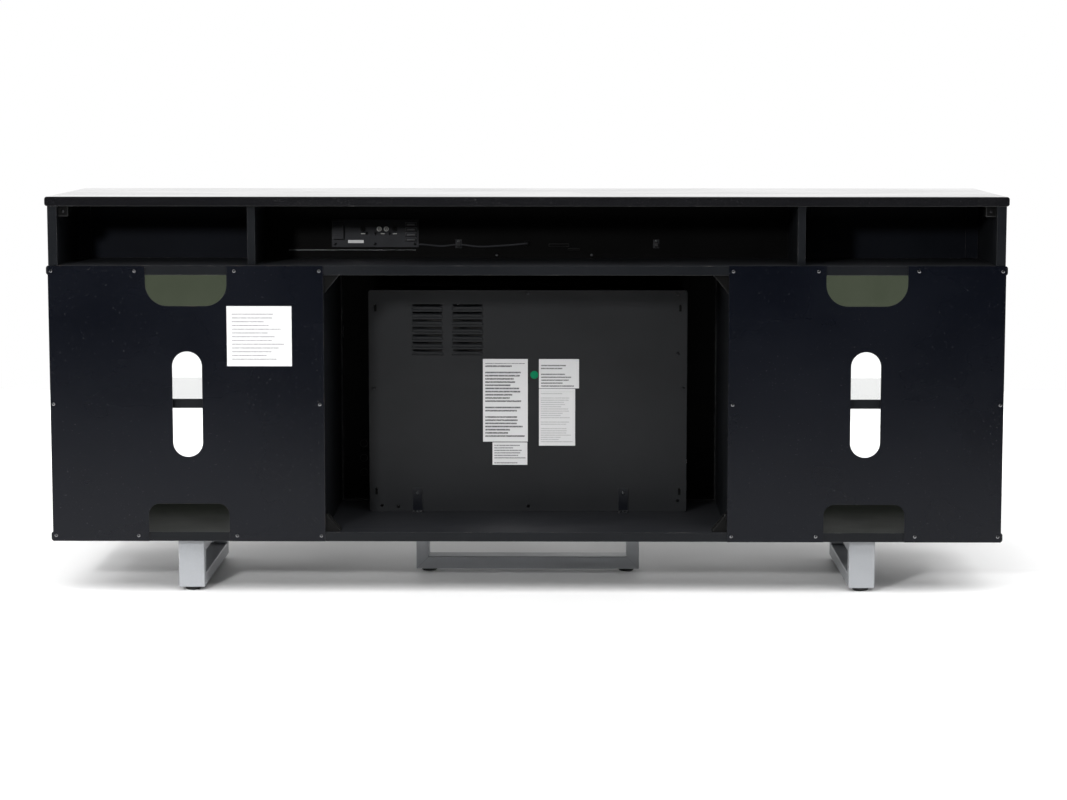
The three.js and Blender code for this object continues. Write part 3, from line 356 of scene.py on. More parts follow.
BLACK = (0.0075, 0.0082, 0.0094)
BLACK_LIGHT = (0.0095, 0.0104, 0.0118)
DULL = {"Specular IOR Level": 0.12}
finishes = {
    "gloss_black_top": [gloss_lacquer(), edge_highlight_and_wear("lacquer_edge", (0.012,) * 3, (0.10,) * 3, (0.14, 0.35), 0.2)],
    "satin_black_board": [
        surface("satin_board", BLACK, BLACK_LIGHT, (0.38, 0.46), depth=1e-5, flecks=0.008, extra=DULL),
        edge_highlight_and_wear("satin_board_edge", (0.014, 0.015, 0.017), (0.11, 0.105, 0.10), (0.4, 0.6)),
        surface("polished_board", BLACK, BLACK_LIGHT, (0.07, 0.11), depth=2e-6,
                extra={"Coat Weight": 1.0, "Coat IOR": 2.0}),
        surface("edge_band", (0.0052, 0.0060, 0.0074), (0.0068, 0.0076, 0.0092), (0.36, 0.46), grain=0.0014,
                extra={"Specular IOR Level": 0.2}),
        board_top_painted_light(),
    ],
    "back_board": [
        surface("back_board", (0.0014, 0.0020, 0.0042), (0.0024, 0.0032, 0.0060), (0.24, 0.32),
                mottle=0.3, grain=0.0016, depth=3e-5, flecks=0.03, extra={"Specular IOR Level": 0.25}),
        edge_highlight_and_wear("back_board_edge", (0.02, 0.02, 0.022), (0.13, 0.10, 0.075), (0.6, 0.8), 0.7),
    ],
    "speaker_board": [
        surface("speaker_board", (0.0052, 0.006, 0.0084), (0.0070, 0.0080, 0.0110), (0.5, 0.6),
                flecks=0.008, extra=DULL),
        edge_highlight_and_wear("speaker_board_edge", (0.018, 0.018, 0.02), (0.09, 0.085, 0.08), (0.5, 0.7)),
    ],
    "grille_cloth": [speaker_cloth()],
    "speaker_cone": [surface("cone_paper", (0.014,) * 3, (0.022,) * 3, (0.6, 0.8), grain=0.002, depth=1e-4)],
    "black_plastic": [
        surface("black_plastic", (0.0024,) * 3, (0.0036,) * 3, (0.42, 0.55),
                grain=0.0007, depth=4e-5, extra=DULL),
        edge_highlight_and_wear("black_plastic_edge", (0.018,) * 3, (0.06,) * 3, (0.35, 0.5), 0.3),
    ],
    "amplifier_plastic": [
        surface("amplifier_plastic", (0.030, 0.031, 0.034), (0.037, 0.038, 0.042), (0.38, 0.5),
                mottle=0.06, grain=0.0008, depth=5e-5, extra={"Specular IOR Level": 0.25}),
        edge_highlight_and_wear("amplifier_edge", (0.035,) * 3, (0.09,) * 3, (0.35, 0.5), 0.3),
    ],
    "firebox_steel": [
        powder_coat("charcoal_coat", (0.0130, 0.0137, 0.0148), (0.0172, 0.0180, 0.0194), (0.44, 0.56)),
        edge_highlight_and_wear("charcoal_coat_edge", (0.036, 0.037, 0.039), (0.16, 0.16, 0.165), (0.4, 0.5)),
        surface("bracket_paint", (0.0035, 0.004, 0.006), (0.005, 0.0058, 0.008), (0.3, 0.4)),
    ],
    "trim_steel": [
        surface("black_enamel", (0.010,) * 3, (0.014,) * 3, (0.20, 0.30), grain=0.004, depth=1e-5,
                extra={"Coat Weight": 0.3, "Coat Roughness": 0.1}),
        edge_highlight_and_wear("black_enamel_edge", (0.02,) * 3, (0.12,) * 3, (0.25, 0.4), 0.2),
        surface("primer", (0.0022,) * 3, (0.0034,) * 3, (0.6, 0.7), extra=DULL),
    ],
    "window_glass": [clear_glass()],
    "flame_screen_plastic": [frosted_screen()],
    "resin_log": [bark()],
    "bright_metal": [rolled_metal("rolled_aluminium", (0.70, 0.71, 0.72), (0.82, 0.83, 0.84))],
    "button_plastic": [
        surface("button_plastic", (0.045, 0.045, 0.05), (0.06, 0.06, 0.066), (0.18, 0.26), grain=0.0008,
                depth=1e-5),
        edge_highlight_and_wear("button_edge", (0.07,) * 3, (0.16,) * 3, (0.2, 0.3), 0.3),
        # The buttons' rear faces: a dark copy of the button plastic, painted shade.
        surface("button_rear_shade", (0.004,) * 3, (0.006,) * 3, (0.6, 0.7), extra=DULL),
    ],
    "door_glass": [bordered_glass()],
    "pivot_steel": [rolled_metal("brushed_steel", (0.42, 0.42, 0.43), (0.52, 0.52, 0.53), (0.24, 0.38))],
    "leg_silver": [leg_paint()],
    "foot_plastic": [surface("foot_rubber", (0.008,) * 3, (0.012,) * 3, (0.6, 0.75), depth=6e-5)],
}
ember_finish = [embers()]
zinc = [rolled_metal("zinc_plate", (0.52, 0.53, 0.55), (0.68, 0.69, 0.71), (0.22, 0.36))]
black_oxide = [rolled_metal("black_oxide", (0.05, 0.05, 0.055), (0.09, 0.09, 0.095), (0.35, 0.5))]
dull_steel = [rolled_metal("dull_steel", (0.26, 0.26, 0.27), (0.36, 0.36, 0.37), (0.28, 0.42))]
dot_green, dot_pale_green = (0.002, 0.16, 0.07), (0.004, 0.19, 0.085)
green_dot = [surface("green_dot", dot_green, dot_pale_green, (0.5, 0.6), mottle=0.01, extra=DULL)]
pale_ring = [surface("pale_ring", (0.78, 0.78, 0.76), (0.84, 0.84, 0.82), (0.3, 0.4), mottle=0.01)]


# ---------- mesh helpers


def piece(name, bm, body, finish, stands_for=(), rounding=0.0, segments=2, solid=0.0):
    """Makes one piece from bm, whose points are in the row's frame, and lets it ride on body."""
    mesh = bpy.data.meshes.new(name)
    bmesh.ops.recalc_face_normals(bm, faces=bm.faces)
    bm.to_mesh(mesh)
    bm.free()
    for f in finish:
        mesh.materials.append(f.material)
    mesh.polygons.foreach_set("use_smooth", [True] * len(mesh.polygons))
    obj = bpy.data.objects.new(name, mesh)
    scene.collection.objects.link(obj)
    if solid:
        modifier = obj.modifiers.new("thickness", "SOLIDIFY")
        modifier.thickness = solid
        modifier.offset = -1
    if rounding:
        modifier = obj.modifiers.new("edges", "BEVEL")
        modifier.width = rounding
        modifier.segments = segments
        modifier.limit_method = "ANGLE"
        modifier.angle_limit = math.radians(42)
        modifier.harden_normals = True
        modifier.material = 1 if len(finish) > 1 else -1
    else:
        mesh.set_sharp_from_angle(angle=math.radians(42))
    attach(obj, body)
    if stands_for:
        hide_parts(*stands_for)
    return obj


def fitting(name, bm, slot, rounding=0.0):
    """A piece of the cabinet in its slot's own finish."""
    piece(name, bm, "cabinet", finishes[slot], rounding=rounding)


def fasteners(name, bm, metal, body="cabinet"):
    """Screws or other small metal pieces."""
    piece(name, bm, body, metal)


def cad_copy(node):
    """The node's faces as a bmesh, with its triangles joined again into flat faces."""
    bm = bmesh.new()
    bm.from_mesh(NODES[node].data)
    bmesh.ops.remove_doubles(bm, verts=bm.verts, dist=1e-5)
    bmesh.ops.dissolve_limit(bm, angle_limit=math.radians(1), verts=bm.verts, edges=bm.edges)
    bm.verts.index_update()
    plain = bmesh.new()
    made = [plain.verts.new(v.co) for v in bm.verts]
    for face in bm.faces:
        plain.faces.new([made[v.index] for v in face.verts])
    bm.free()
    return plain


def look(node, rounding, segments=2, change=None):
    """The visible copy of a CAD node, with rounded edges and its slot's finish."""
    bm = cad_copy(node)
    if change:
        change(bm)
    slot = SLOT_OF[node]
    return piece(f"{node}_look", bm, BODY_OF[node], finishes[slot], [node], rounding, segments)


def facing(place, axis):
    """Turns +Z to axis, and moves the origin to place."""
    return Matrix.Translation(place) @ Vector(axis).to_track_quat("Z", "Y").to_matrix().to_4x4()


def add_box(bm, lo, hi, index=0):
    """A box from corner lo to corner hi."""
    verts = [bm.verts.new((x, y, z)) for x in (lo[0], hi[0]) for y in (lo[1], hi[1]) for z in (lo[2], hi[2])]
    for loop in ((0, 1, 3, 2), (4, 6, 7, 5), (0, 4, 5, 1), (2, 3, 7, 6), (0, 2, 6, 4), (1, 5, 7, 3)):
        bm.faces.new([verts[i] for i in loop]).material_index = index


def add_plate(bm, anchor, x, y, z, index=0):
    """A box by its spans x, y and z, in millimetres from the point anchor."""
    lo, hi = (Vector(anchor) + MM * Vector(corner) for corner in zip(x, y, z))
    add_box(bm, lo, hi, index)


def millimetres(profile):
    """A profile written in millimetres, in metres."""
    return [(radius * MM, height * MM) for radius, height in profile]


def add_turned(bm, profile, turn, sides=24, index=0, height=None):
    """A profile of (radius, height) from axis to axis, turned about the +Z of turn."""
    rings = []
    for radius, z in profile:
        count = 1 if radius == 0 else sides
        ring = []
        for i in range(count):
            a = math.tau * i / sides
            u, v = radius * math.cos(a), radius * math.sin(a)
            ring.append(bm.verts.new(turn @ Vector((u, v, z + (height(u, v) if height else 0)))))
        rings.append(ring)
    for low, high in zip(rings, rings[1:]):
        for i in range(sides):
            j = (i + 1) % sides
            corners = [low[i % len(low)], low[j % len(low)], high[j % len(high)], high[i % len(high)]]
            bm.faces.new(list(dict.fromkeys(corners))).material_index = index


def add_screw(bm, place, axis=(0, 1, 0), radius=3.4 * MM, dome=0.45, turn=0.3):
    """A pan-head screw with a cross recess."""
    arm, reach, depth = 0.16 * radius, 0.62 * radius, 0.3 * radius

    def recess(u, v):
        a = u * math.cos(turn) + v * math.sin(turn)
        b = v * math.cos(turn) - u * math.sin(turn)
        inside = math.hypot(u, v) < reach and min(abs(a), abs(b)) < arm
        return -depth if inside else 0.0

    rings = [(0, dome), (0.12, dome), (0.24, dome), (0.4, 0.93 * dome), (0.56, 0.86 * dome)]
    rings += [(0.64, 0.8 * dome), (0.85, 0.5 * dome), (0.97, 0.2 * dome), (1, 0), (1, -0.12), (0, -0.12)]
    profile = [(r * radius, h * radius) for r, h in rings]
    add_turned(bm, profile[:-2], facing(place, axis), 40, height=recess)
    add_turned(bm, profile[-3:], facing(place, axis), 40)


def add_tube(bm, points, radius, sides=10):
    """A round bar along a smooth line of points, closed at both ends."""
    line = [Vector(p) for p in points]
    rings = []
    for i, p in enumerate(line):
        ahead = line[min(i + 1, len(line) - 1)] - line[max(i - 1, 0)]
        turn = facing(p, ahead)
        circle = [(math.cos(math.tau * k / sides), math.sin(math.tau * k / sides)) for k in range(sides)]
        rings.append([bm.verts.new(turn @ Vector((radius * c, radius * s, 0))) for c, s in circle])
    for low, high in zip(rings, rings[1:]):
        for k in range(sides):
            j = (k + 1) % sides
            bm.faces.new((low[k], low[j], high[j], high[k]))
    bm.faces.new(rings[0])
    bm.faces.new(rings[-1])


def add_leaf(bm, rect, y, thick, lift, seed, steps=14):
    """A paper leaf on a wall that faces +Y: closed, a little uneven, with corners that lift."""
    x0, x1, z0, z1 = (v * MM for v in rect)
    front, back = [], []
    for i in range(steps + 1):
        for j in range(steps + 1):
            u, v = i / steps, j / steps
            x, z = x0 + (x1 - x0) * u, z0 + (z1 - z0) * v
            wave = noise.noise(Vector((x * 30, seed, z * 30))) * 0.5 + 0.5
            corner = max(0, abs(2 * u - 1) + abs(2 * v - 1) - 1.75) * 3
            rise = lift * (0.35 * wave + corner)
            front.append(bm.verts.new((x, y + thick + rise, z)))
            back.append(bm.verts.new((x, y + rise * 0.9, z)))
    row = steps + 1
    for grid in (front, back):
        for i in range(steps):
            for j in range(steps):
                k = i * row + j
                bm.faces.new((grid[k], grid[k + 1], grid[k + row + 1], grid[k + row]))
    rim = [*range(steps)] + [i * row + steps for i in range(steps)]
    rim += [steps * row + j for j in range(steps, 0, -1)] + [i * row for i in range(steps, 0, -1)]
    for a, b in zip(rim, rim[1:] + rim[:1]):
        bm.faces.new((front[a], front[b], back[b], back[a]))


# ---------- carcass

top_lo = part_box("top_panel")[0]
mid_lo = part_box("mid_panel")[0]
REAR_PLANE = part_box("back_panel_right")[1].y
BACK_FACE = REAR_PLANE - 0.9 * MM  # the back boards' outer face; screw heads and labels reach the rear plane


def sink_face(bm):
    """Sets the outer face of a back board in from the rear plane."""
    for v in bm.verts:
        if v.co.y > REAR_PLANE - 0.1 * MM:
            v.co.y = BACK_FACE


UP, BACK = Vector((0, 0, 1)), Vector((0, 1, 0))


def dress(up=0, back=0):
    """Gives the faces that point up or back another of the slot's finishes."""

    def change(bm):
        bm.normal_update()
        for face in bm.faces:
            if face.normal.dot(UP) > 0.9:
                face.material_index = up
            elif face.normal.dot(BACK) > 0.9:
                face.material_index = back

    return change


# The fifth finish gives the tops of the middle and bottom panels a painted sheen, and the closed bays' floors
# painted shade.
POLISHED, BANDED, PAINTED_LIGHT_TOP = 2, 3, 4  # the last three finishes of the board's slot
look("top_panel", 0.7 * MM, 3)
look("mid_panel", 0.6 * MM, 2, dress(PAINTED_LIGHT_TOP, BANDED))
look("bottom_panel", 0.6 * MM, 2, dress(PAINTED_LIGHT_TOP, BANDED))
for side in SIDES:
    for part in ("upper_side", "lower_side", "upper_divider", "lower_divider"):
        look(f"{part}_{side}", 0.6 * MM, 2, dress(back=BANDED))
    look(f"shelf_{side}", 0.6 * MM, 2, dress(POLISHED, BANDED))
    look(f"back_panel_{side}", 0.3 * MM, 1, sink_face)
    for level in ("top", "bottom"):
        look(f"corner_brace_{level}_{side}", 0.5 * MM)

# Screws of the back boards, as |x|, z in millimetres. The outer column stands over the side's edge.
UPPER_ROW, SHELF_ROW, LOWER_ROW = 622, 366.5, 112
board_screws = [(x, z) for x in (905, 746, 556, 394) for z in (UPPER_ROW, LOWER_ROW)]
board_screws += [(905, SHELF_ROW), (394.5, SHELF_ROW)]
for side, sign in SIDES.items():
    bm = bmesh.new()
    for i, (x, z) in enumerate(board_screws):
        place = Vector((sign * x * MM, BACK_FACE + 0.02 * MM, z * MM))
        add_screw(bm, place, radius=3.3 * MM, dome=0.25, turn=0.7 * i)
    fasteners(f"board_screws_{side}", bm, dull_steel)

# Battens at the ends of the inner walls, and corner blocks under the top panel.
for side, sign in SIDES.items():
    lo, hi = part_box(f"speaker_box_{side}")
    look(f"speaker_box_{side}", 0.5 * MM)
    bm = bmesh.new()
    for end, inward in ((lo.x, 1), (hi.x, -1)):
        x0, x1 = sorted((end + inward * 0.3 * MM, end + inward * 25.5 * MM))
        add_box(bm, (x0, hi.y, lo.z + 0.3 * MM), (x1, hi.y + 2.4 * MM, hi.z - 0.3 * MM))
    fitting(f"wall_battens_{side}", bm, "speaker_board", 0.5 * MM)
    bm = bmesh.new()
    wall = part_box(f"upper_side_{side}")
    x = wall[0].x if sign > 0 else wall[1].x
    x0, x1 = sorted((x - sign * 0.2 * MM, x - sign * 20 * MM))
    add_box(bm, (x0, 168 * MM, top_lo.z - 20 * MM), (x1, 196 * MM, top_lo.z - 0.2 * MM))
    fitting(f"corner_block_{side}", bm, "black_plastic", 1.2 * MM)
    bm = bmesh.new()
    add_screw(bm, Vector(((x0 + x1) / 2, 182 * MM, top_lo.z - 20 * MM)), (0, 0, -1), 3 * MM)
    add_screw(bm, Vector(((x0 + x1) / 2, 196 * MM, top_lo.z - 10 * MM)), (0, 1, 0), 3 * MM)
    fasteners(f"corner_block_screws_{side}", bm, black_oxide)

# Screws of the ribbed corner braces, on their inner faces.
bm = bmesh.new()
for side, sign in SIDES.items():
    for level, up in (("top", -1), ("bottom", 1)):
        lo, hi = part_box(f"corner_brace_{level}_{side}")
        wall_x, wall_z = (hi.x if sign > 0 else lo.x), (hi.z if up < 0 else lo.z)
        for k in (0.3, 0.7):
            y = lo.y + (hi.y - lo.y) * k
            add_screw(bm, Vector((wall_x - sign * 19 * MM, y, wall_z + up * 3 * MM)), (0, 0, up), 2.6 * MM)
            add_screw(bm, Vector((wall_x - sign * 3 * MM, y, wall_z + up * 24 * MM)), (-sign, 0, 0), 2.6 * MM)
fasteners("brace_screws", bm, black_oxide)

# Shelf pins: a peg into the upright with a flat shoe under the shelf.
for side, sign in SIDES.items():
    lo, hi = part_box(f"shelf_{side}")
    bm = bmesh.new()
    for x, inward in ((lo.x - 1 * MM, 1), (hi.x + 1 * MM, -1)):
        for y in (lo.y + 37 * MM, hi.y - 37 * MM):
            place = Vector((x + inward * 0.1 * MM, y, lo.z - 3.2 * MM))
            profile = [(0, 0), (4.5, 0), (4.5, 1.2), (2.5, 1.2), (2.5, 9.4), (2, 9.9), (0, 9.9)]
            add_turned(bm, millimetres(profile), facing(place, (inward, 0, 0)), 20)
            x0, x1 = sorted((place.x + inward * 1.3 * MM, place.x + inward * 10 * MM))
            add_box(bm, (x0, y - 4 * MM, lo.z - 0.9 * MM), (x1, y + 4 * MM, lo.z - 0.1 * MM))
    fasteners(f"shelf_pins_{side}", bm, zinc)

# A paper label on one back board.
LABEL_RECT = (447, 571, 440, 555)
label = paper("board_label_paper", LABEL_RECT, 16, 0.28, ink=0.6)
bm = bmesh.new()
add_leaf(bm, LABEL_RECT, BACK_FACE + 0.05 * MM, 0.14 * MM, 0.35 * MM, 3.0)
piece("board_label", bm, "cabinet", [label])


# ---------- legs


def add_loop(bm, ends, levels, across, thin, along_y):
    """A rectangular loop of flat-sided tube: ends and levels are its outline, across is its width."""
    rings = []
    for w in across:
        for inset in (0, thin):
            (u0, u1), (z0, z1) = ends, levels
            outline = [(u0 + inset, z0 + inset), (u1 - inset, z0 + inset), (u1 - inset, z1 - inset)]
            outline.append((u0 + inset, z1 - inset))
            rings.append([bm.verts.new((w, u, z) if along_y else (u, w, z)) for u, z in outline])
    outer0, inner0, outer1, inner1 = rings
    for a, b in ((outer0, inner0), (inner0, inner1), (inner1, outer1), (outer1, outer0)):
        for k in range(4):
            j = (k + 1) % 4
            bm.faces.new((a[k], a[j], b[j], b[k]))


for side in (*SIDES, "middle"):
    node = f"leg_loop_{side}"
    lo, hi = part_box(node)
    bm = bmesh.new()
    if side == "middle":
        add_loop(bm, (lo.x, hi.x), (lo.z, hi.z), (lo.y, hi.y), TUBE_THIN, False)
    else:
        add_loop(bm, (lo.y, hi.y), (lo.z, hi.z), (lo.x, hi.x), TUBE_THIN, True)
    piece(f"{node}_look", bm, "cabinet", finishes["leg_silver"], [node], 1.8 * MM, 3)
for side in SIDES:
    for end in ("front", "rear", "middle"):
        look(f"foot_{end}_{side}", 0.6 * MM)


# ---------- speaker row

look("soundbar_housing", 0.6 * MM)
look("soundbar_grille", 1.2 * MM, 3)
for side in SIDES:
    look(f"grille_{side}", 1.2 * MM, 3)
    look(f"woofer_{side}", 0.4 * MM)
    look(f"soundbar_driver_{side}", 0.4 * MM)

amp_lo, amp_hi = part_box("amplifier")
look("amplifier", 0.7 * MM, 3)
AMP_FACE = amp_hi.y
AMP_MIDDLE = (amp_lo.z + amp_hi.z) / 2


def add_disc(bm, radius, low, high, turn, index=0, hollow=0.0):
    """A short cylinder, with a well of radius hollow in its outer end."""
    well = [(0, low + 0.1), (hollow, low + 0.1), (hollow, high)] if hollow else [(0, high)]
    points = [*well, (radius, high), (radius, low), (0, low)]
    add_turned(bm, millimetres(points), turn, 28, index)


def jack(name, x, rim, outer=4.6):
    """A round socket: a rim, a dark well and a middle contact."""
    turn = facing(Vector((x * MM, AMP_FACE, JACK_Z)), (0, 1, 0))
    bm = bmesh.new()
    add_disc(bm, outer, -0.4, 2.6, turn, 0, outer - 1.3)
    add_disc(bm, outer - 1.4, -0.2, 0.6, turn, 1)
    add_disc(bm, 1.3, 0.5, 3.4, turn, 0)
    piece(name, bm, "cabinet", [rim, finishes["foot_plastic"][0]])


JACK_Z = AMP_MIDDLE + 9 * MM
jack("jack_input", 326, finishes["black_plastic"][0], 5.0)
jack("jack_line_red", 294, pale_ring[0])
jack("jack_line_white", 280, pale_ring[0])
jack("jack_output", 263, finishes["black_plastic"][0], 5.0)
bm = bmesh.new()
for x in (326, 287, 263):  # plain printed dashes below the jacks
    add_plate(bm, (x * MM, AMP_FACE, JACK_Z), (-4, 4), (-0.1, 0.08), (-10, -9))
piece("amplifier_dashes", bm, "cabinet", pale_ring)

# Spring terminals at one end of the plate and a raised antenna housing at the other.
bm = bmesh.new()
for k in range(4):
    terminal = (amp_lo.x + 15 * MM, AMP_FACE, amp_hi.z - (8 + 10 * k) * MM)
    add_plate(bm, terminal, (-11, 11), (-0.2, 5), (-4, 3))
    add_plate(bm, terminal, (-8, 8), (4.8, 8), (-3, 0.5), 1)
terminal_finish = [finishes["amplifier_plastic"][0], dull_steel[0]]
piece("spring_terminals", bm, "cabinet", terminal_finish, rounding=0.6 * MM)
bm = bmesh.new()
housing = (amp_hi.x - 13 * MM, AMP_FACE, amp_lo.z)
add_plate(bm, housing, (-11, 11), (-0.2, 7), (16, (amp_hi.z - amp_lo.z) / MM - 3))
for k in range(3):
    add_plate(bm, housing, (-7, 7), (6.8, 8), (22 + 8 * k, 25 + 8 * k))
fitting("antenna_housing", bm, "amplifier_plastic", 0.8 * MM)
bm = bmesh.new()
for x in (amp_lo.x + 7 * MM, 302 * MM, amp_hi.x - 7 * MM):
    add_screw(bm, Vector((x, AMP_FACE, amp_lo.z + 6 * MM)), radius=2.8 * MM, turn=x * 40)
fasteners("amplifier_screws", bm, black_oxide)
STICKER = (325, 356, 662, 668)
bm = bmesh.new()
add_leaf(bm, STICKER, AMP_FACE + 0.05 * MM, 0.12 * MM, 0.1 * MM, 5.0, 6)
piece("amplifier_sticker", bm, "cabinet", [paper("sticker_paper", STICKER, 2, 0.2, ink=0.1)])

# The lead from the amplifier runs along the wall, under a clip, into a bush in the wall.
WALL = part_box("soundbar_housing")[1].y
LEAD_RADIUS = 1.7 * MM
LEAD_Y = WALL + LEAD_RADIUS + 0.3 * MM
lead_z = 659 * MM


def smooth_line(points):
    """A Catmull-Rom line through the points, in ten steps between each pair."""
    steps = 10
    p = [Vector(points[0]), *map(Vector, points), Vector(points[-1])]
    line = []
    for i in range(1, len(p) - 2):
        for k in range(steps):
            t = k / steps
            a, b, c, d = p[i - 1 : i + 3]
            bend = (2 * a - 5 * b + 4 * c - d) * t * t + (3 * b - 3 * c + d - a) * t**3
            line.append(0.5 * (2 * b + (c - a) * t + bend))
    return [*line, p[-2]]


bm = bmesh.new()
between = [(205, 0, 0), (170, 0, -3), (137, 0, 0), (95, 0, -4), (50, 0, -2), (14, 0, 1), (4, -0.5, 2)]
route = [(amp_lo.x + 4 * MM, LEAD_Y, lead_z)]
route += [(x * MM, LEAD_Y + y * MM, lead_z + z * MM) for x, y, z in between]
route += [(0, WALL - 1 * MM, lead_z + 2 * MM)]
add_tube(bm, smooth_line(route), LEAD_RADIUS)
piece("amplifier_lead", bm, "cabinet", [finishes["amplifier_plastic"][0]])
bm = bmesh.new()
half_turn = [math.pi * k / 12 for k in range(13)]
for x in (137, -255):
    clip = Vector((x * MM, WALL, lead_z))
    add_plate(bm, clip, (-6, 6), (0, 1.6), (-7, 10))
    for shift in (-2.5, -0.8, 0.9, 2.6):
        arch = [Vector((shift, 1 + 5.6 * math.sin(a), 5 * math.cos(a))) for a in half_turn]
        add_tube(bm, [clip + MM * point for point in arch], 1.1 * MM, 8)
piece("lead_clips", bm, "cabinet", finishes["amplifier_plastic"], rounding=0.3 * MM)
bm = bmesh.new()
bush = [(0, 0.1), (3.2, 0.1), (3.2, 2), (6.5, 1.6), (7, 0), (0, -0.5)]
add_turned(bm, millimetres(bush), facing(Vector((0, WALL, lead_z + 2 * MM)), (0, 1, 0)), 24)
fitting("lead_bush", bm, "black_plastic")
bm = bmesh.new()
for x, z in ((61, 638), (-127, 638), (137, 666), (-255, 666)):
    proud = 1.6 * MM if z > 650 else 0
    add_screw(bm, Vector((x * MM, WALL + proud, z * MM)), radius=3 * MM)
fasteners("wall_screws", bm, zinc)
bm = bmesh.new()
wall_foot = (0, WALL, 0)
add_plate(bm, wall_foot, (222, 474), (-0.1, 1.4), (647.2, 649.2))
piece("earth_strip", bm, "cabinet", zinc, rounding=0.3 * MM)
bm = bmesh.new()
add_plate(bm, wall_foot, (-82, -42), (-0.1, 3), (655, 661))
add_plate(bm, wall_foot, (-104, -80), (-0.1, 3), (648, 652))
fitting("wall_ties", bm, "black_plastic", 0.8 * MM)


# ---------- fireplace insert

for node in ("firebox_housing", "firebox_rear_cover", "heater_box"):
    look(node, 0.35 * MM)
REAR = 2  # the third finish of a slot is for a part's rear faces
look("firebox_trim", 0.35 * MM, 2, dress(back=REAR))
for side in SIDES:
    look(f"hold_down_bracket_{side}", 0.35 * MM, 2, dress(back=REAR))
for node in ("firebox_glass", "flame_screen"):
    look(node, 0.5 * MM)
for node in ("blower_wheel", "flicker_rod"):
    look(node, 0.15 * MM, 1)
look("power_gland", 0.6 * MM)
# The buttons' rear faces take the dark copy of their plastic, a painted shade.
for name in ("power", "flame", "heat"):
    look(f"button_{name}", 0.7 * MM, 3, dress(back=REAR))

cover_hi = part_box("firebox_rear_cover")[1]
COVER_FACE = cover_hi.y
COVER_HALF = cover_hi.x

# A felt seal fills the gap between the insert's trim and the boards round it.
trim_lo, trim_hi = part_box("firebox_trim")
gap = 1.9 * MM
bm = bmesh.new()
ring_lo = Vector((trim_lo.x, trim_hi.y - 6 * MM, trim_lo.z))
ring_hi = Vector((trim_hi.x, trim_hi.y + 5 * MM, trim_hi.z))
for x0, x1 in ((ring_lo.x - gap, ring_lo.x), (ring_hi.x, ring_hi.x + gap)):
    add_box(bm, (x0, ring_lo.y, ring_lo.z), (x1, ring_hi.y, ring_hi.z))
for z0, z1 in ((ring_lo.z - gap, ring_lo.z), (ring_hi.z, ring_hi.z + gap)):
    add_box(bm, (ring_lo.x - gap, ring_lo.y, z0), (ring_hi.x + gap, ring_hi.y, z1))
fitting("trim_seal", bm, "grille_cloth")

# A pressed scoop below each louvre slot, open at the top, with a dark strip along the slot's lower edge that
# is a painted shadow, so the slot reads deeper.
LOUVRE_COLUMNS, LOUVRE_ROWS, LOUVRE_PITCH = (118 * MM, 198.5 * MM), 7, 15.1 * MM
HOOD_HALF, HOOD_RISE, HOOD_DROP = 31.5 * MM, 3.4 * MM, 6.5 * MM
LOUVRE_SLOT, LOUVRE_MOUTH = 3.4 * MM, 5 * MM
bm = bmesh.new()
shadow_strips = bmesh.new()
for column in LOUVRE_COLUMNS:
    for row in range(LOUVRE_ROWS):
        low = cover_hi.z - 28 * MM - row * LOUVRE_PITCH - LOUVRE_MOUTH - HOOD_DROP
        slot_low = low + HOOD_DROP + LOUVRE_MOUTH - LOUVRE_SLOT
        strip_half = HOOD_HALF / MM - 2
        add_plate(shadow_strips, (COVER_HALF - column, COVER_FACE, slot_low), (-strip_half, strip_half), (-0.3, 0.5), (-1.6, 0))
        grid = []
        for i in range(25):
            s = -1 + 2 * i / 24
            rise = HOOD_RISE * math.sqrt(max(0, 1 - abs(s) ** 5))
            for j in range(7):
                t = j / 6
                y = COVER_FACE + rise * math.sin(t * math.pi / 2) ** 1.2
                z = low + HOOD_DROP * t * math.sqrt(max(0.02, 1 - abs(s) ** 8))
                grid.append(bm.verts.new((COVER_HALF - column + s * HOOD_HALF, y, z)))
        for i in range(24):
            for j in range(6):
                k = i * 7 + j
                bm.faces.new((grid[k], grid[k + 1], grid[k + 8], grid[k + 7]))
piece("louvre_hoods", bm, "cabinet", finishes["firebox_steel"][:1], solid=0.8 * MM)
# The dark strips under the slots are painted shadow.
piece("louvre_shadow_strips", shadow_strips, "cabinet", finishes["firebox_steel"][2:], rounding=0.2 * MM)

# The cover's screws, then dark plates in its keyholes that paint the shade inside the open slots, as x and z
# in millimetres.
cover_screws = [(313, 368.6), (-316.5, 369), (0, 560), (-300, 558), (-300.7, 438.8)]
cover_screws += [(294, 131), (261, 128.8), (-1, 129.8), (-301.6, 141.2)]
bm = bmesh.new()
for x, z in cover_screws:
    inset = 0.985 if abs(x) > 310 else 1  # keeps the two side screws clear of the cover's edges
    add_screw(bm, Vector((x * MM * inset, COVER_FACE, z * MM)), radius=3.2 * MM, turn=x)
fasteners("cover_screws", bm, black_oxide)
bm = bmesh.new()
# Painted shade: a dark plate in each keyhole.
for x in (-305, 305):
    for z in (532, 161.6):
        add_plate(bm, (x * MM, COVER_FACE, z * MM), (-2.4, 2.4), (-0.5, 0.6), (-8.5, 3.5))
piece("keyhole_shade_plates", bm, "cabinet", finishes["trim_steel"][2:], rounding=0.4 * MM)

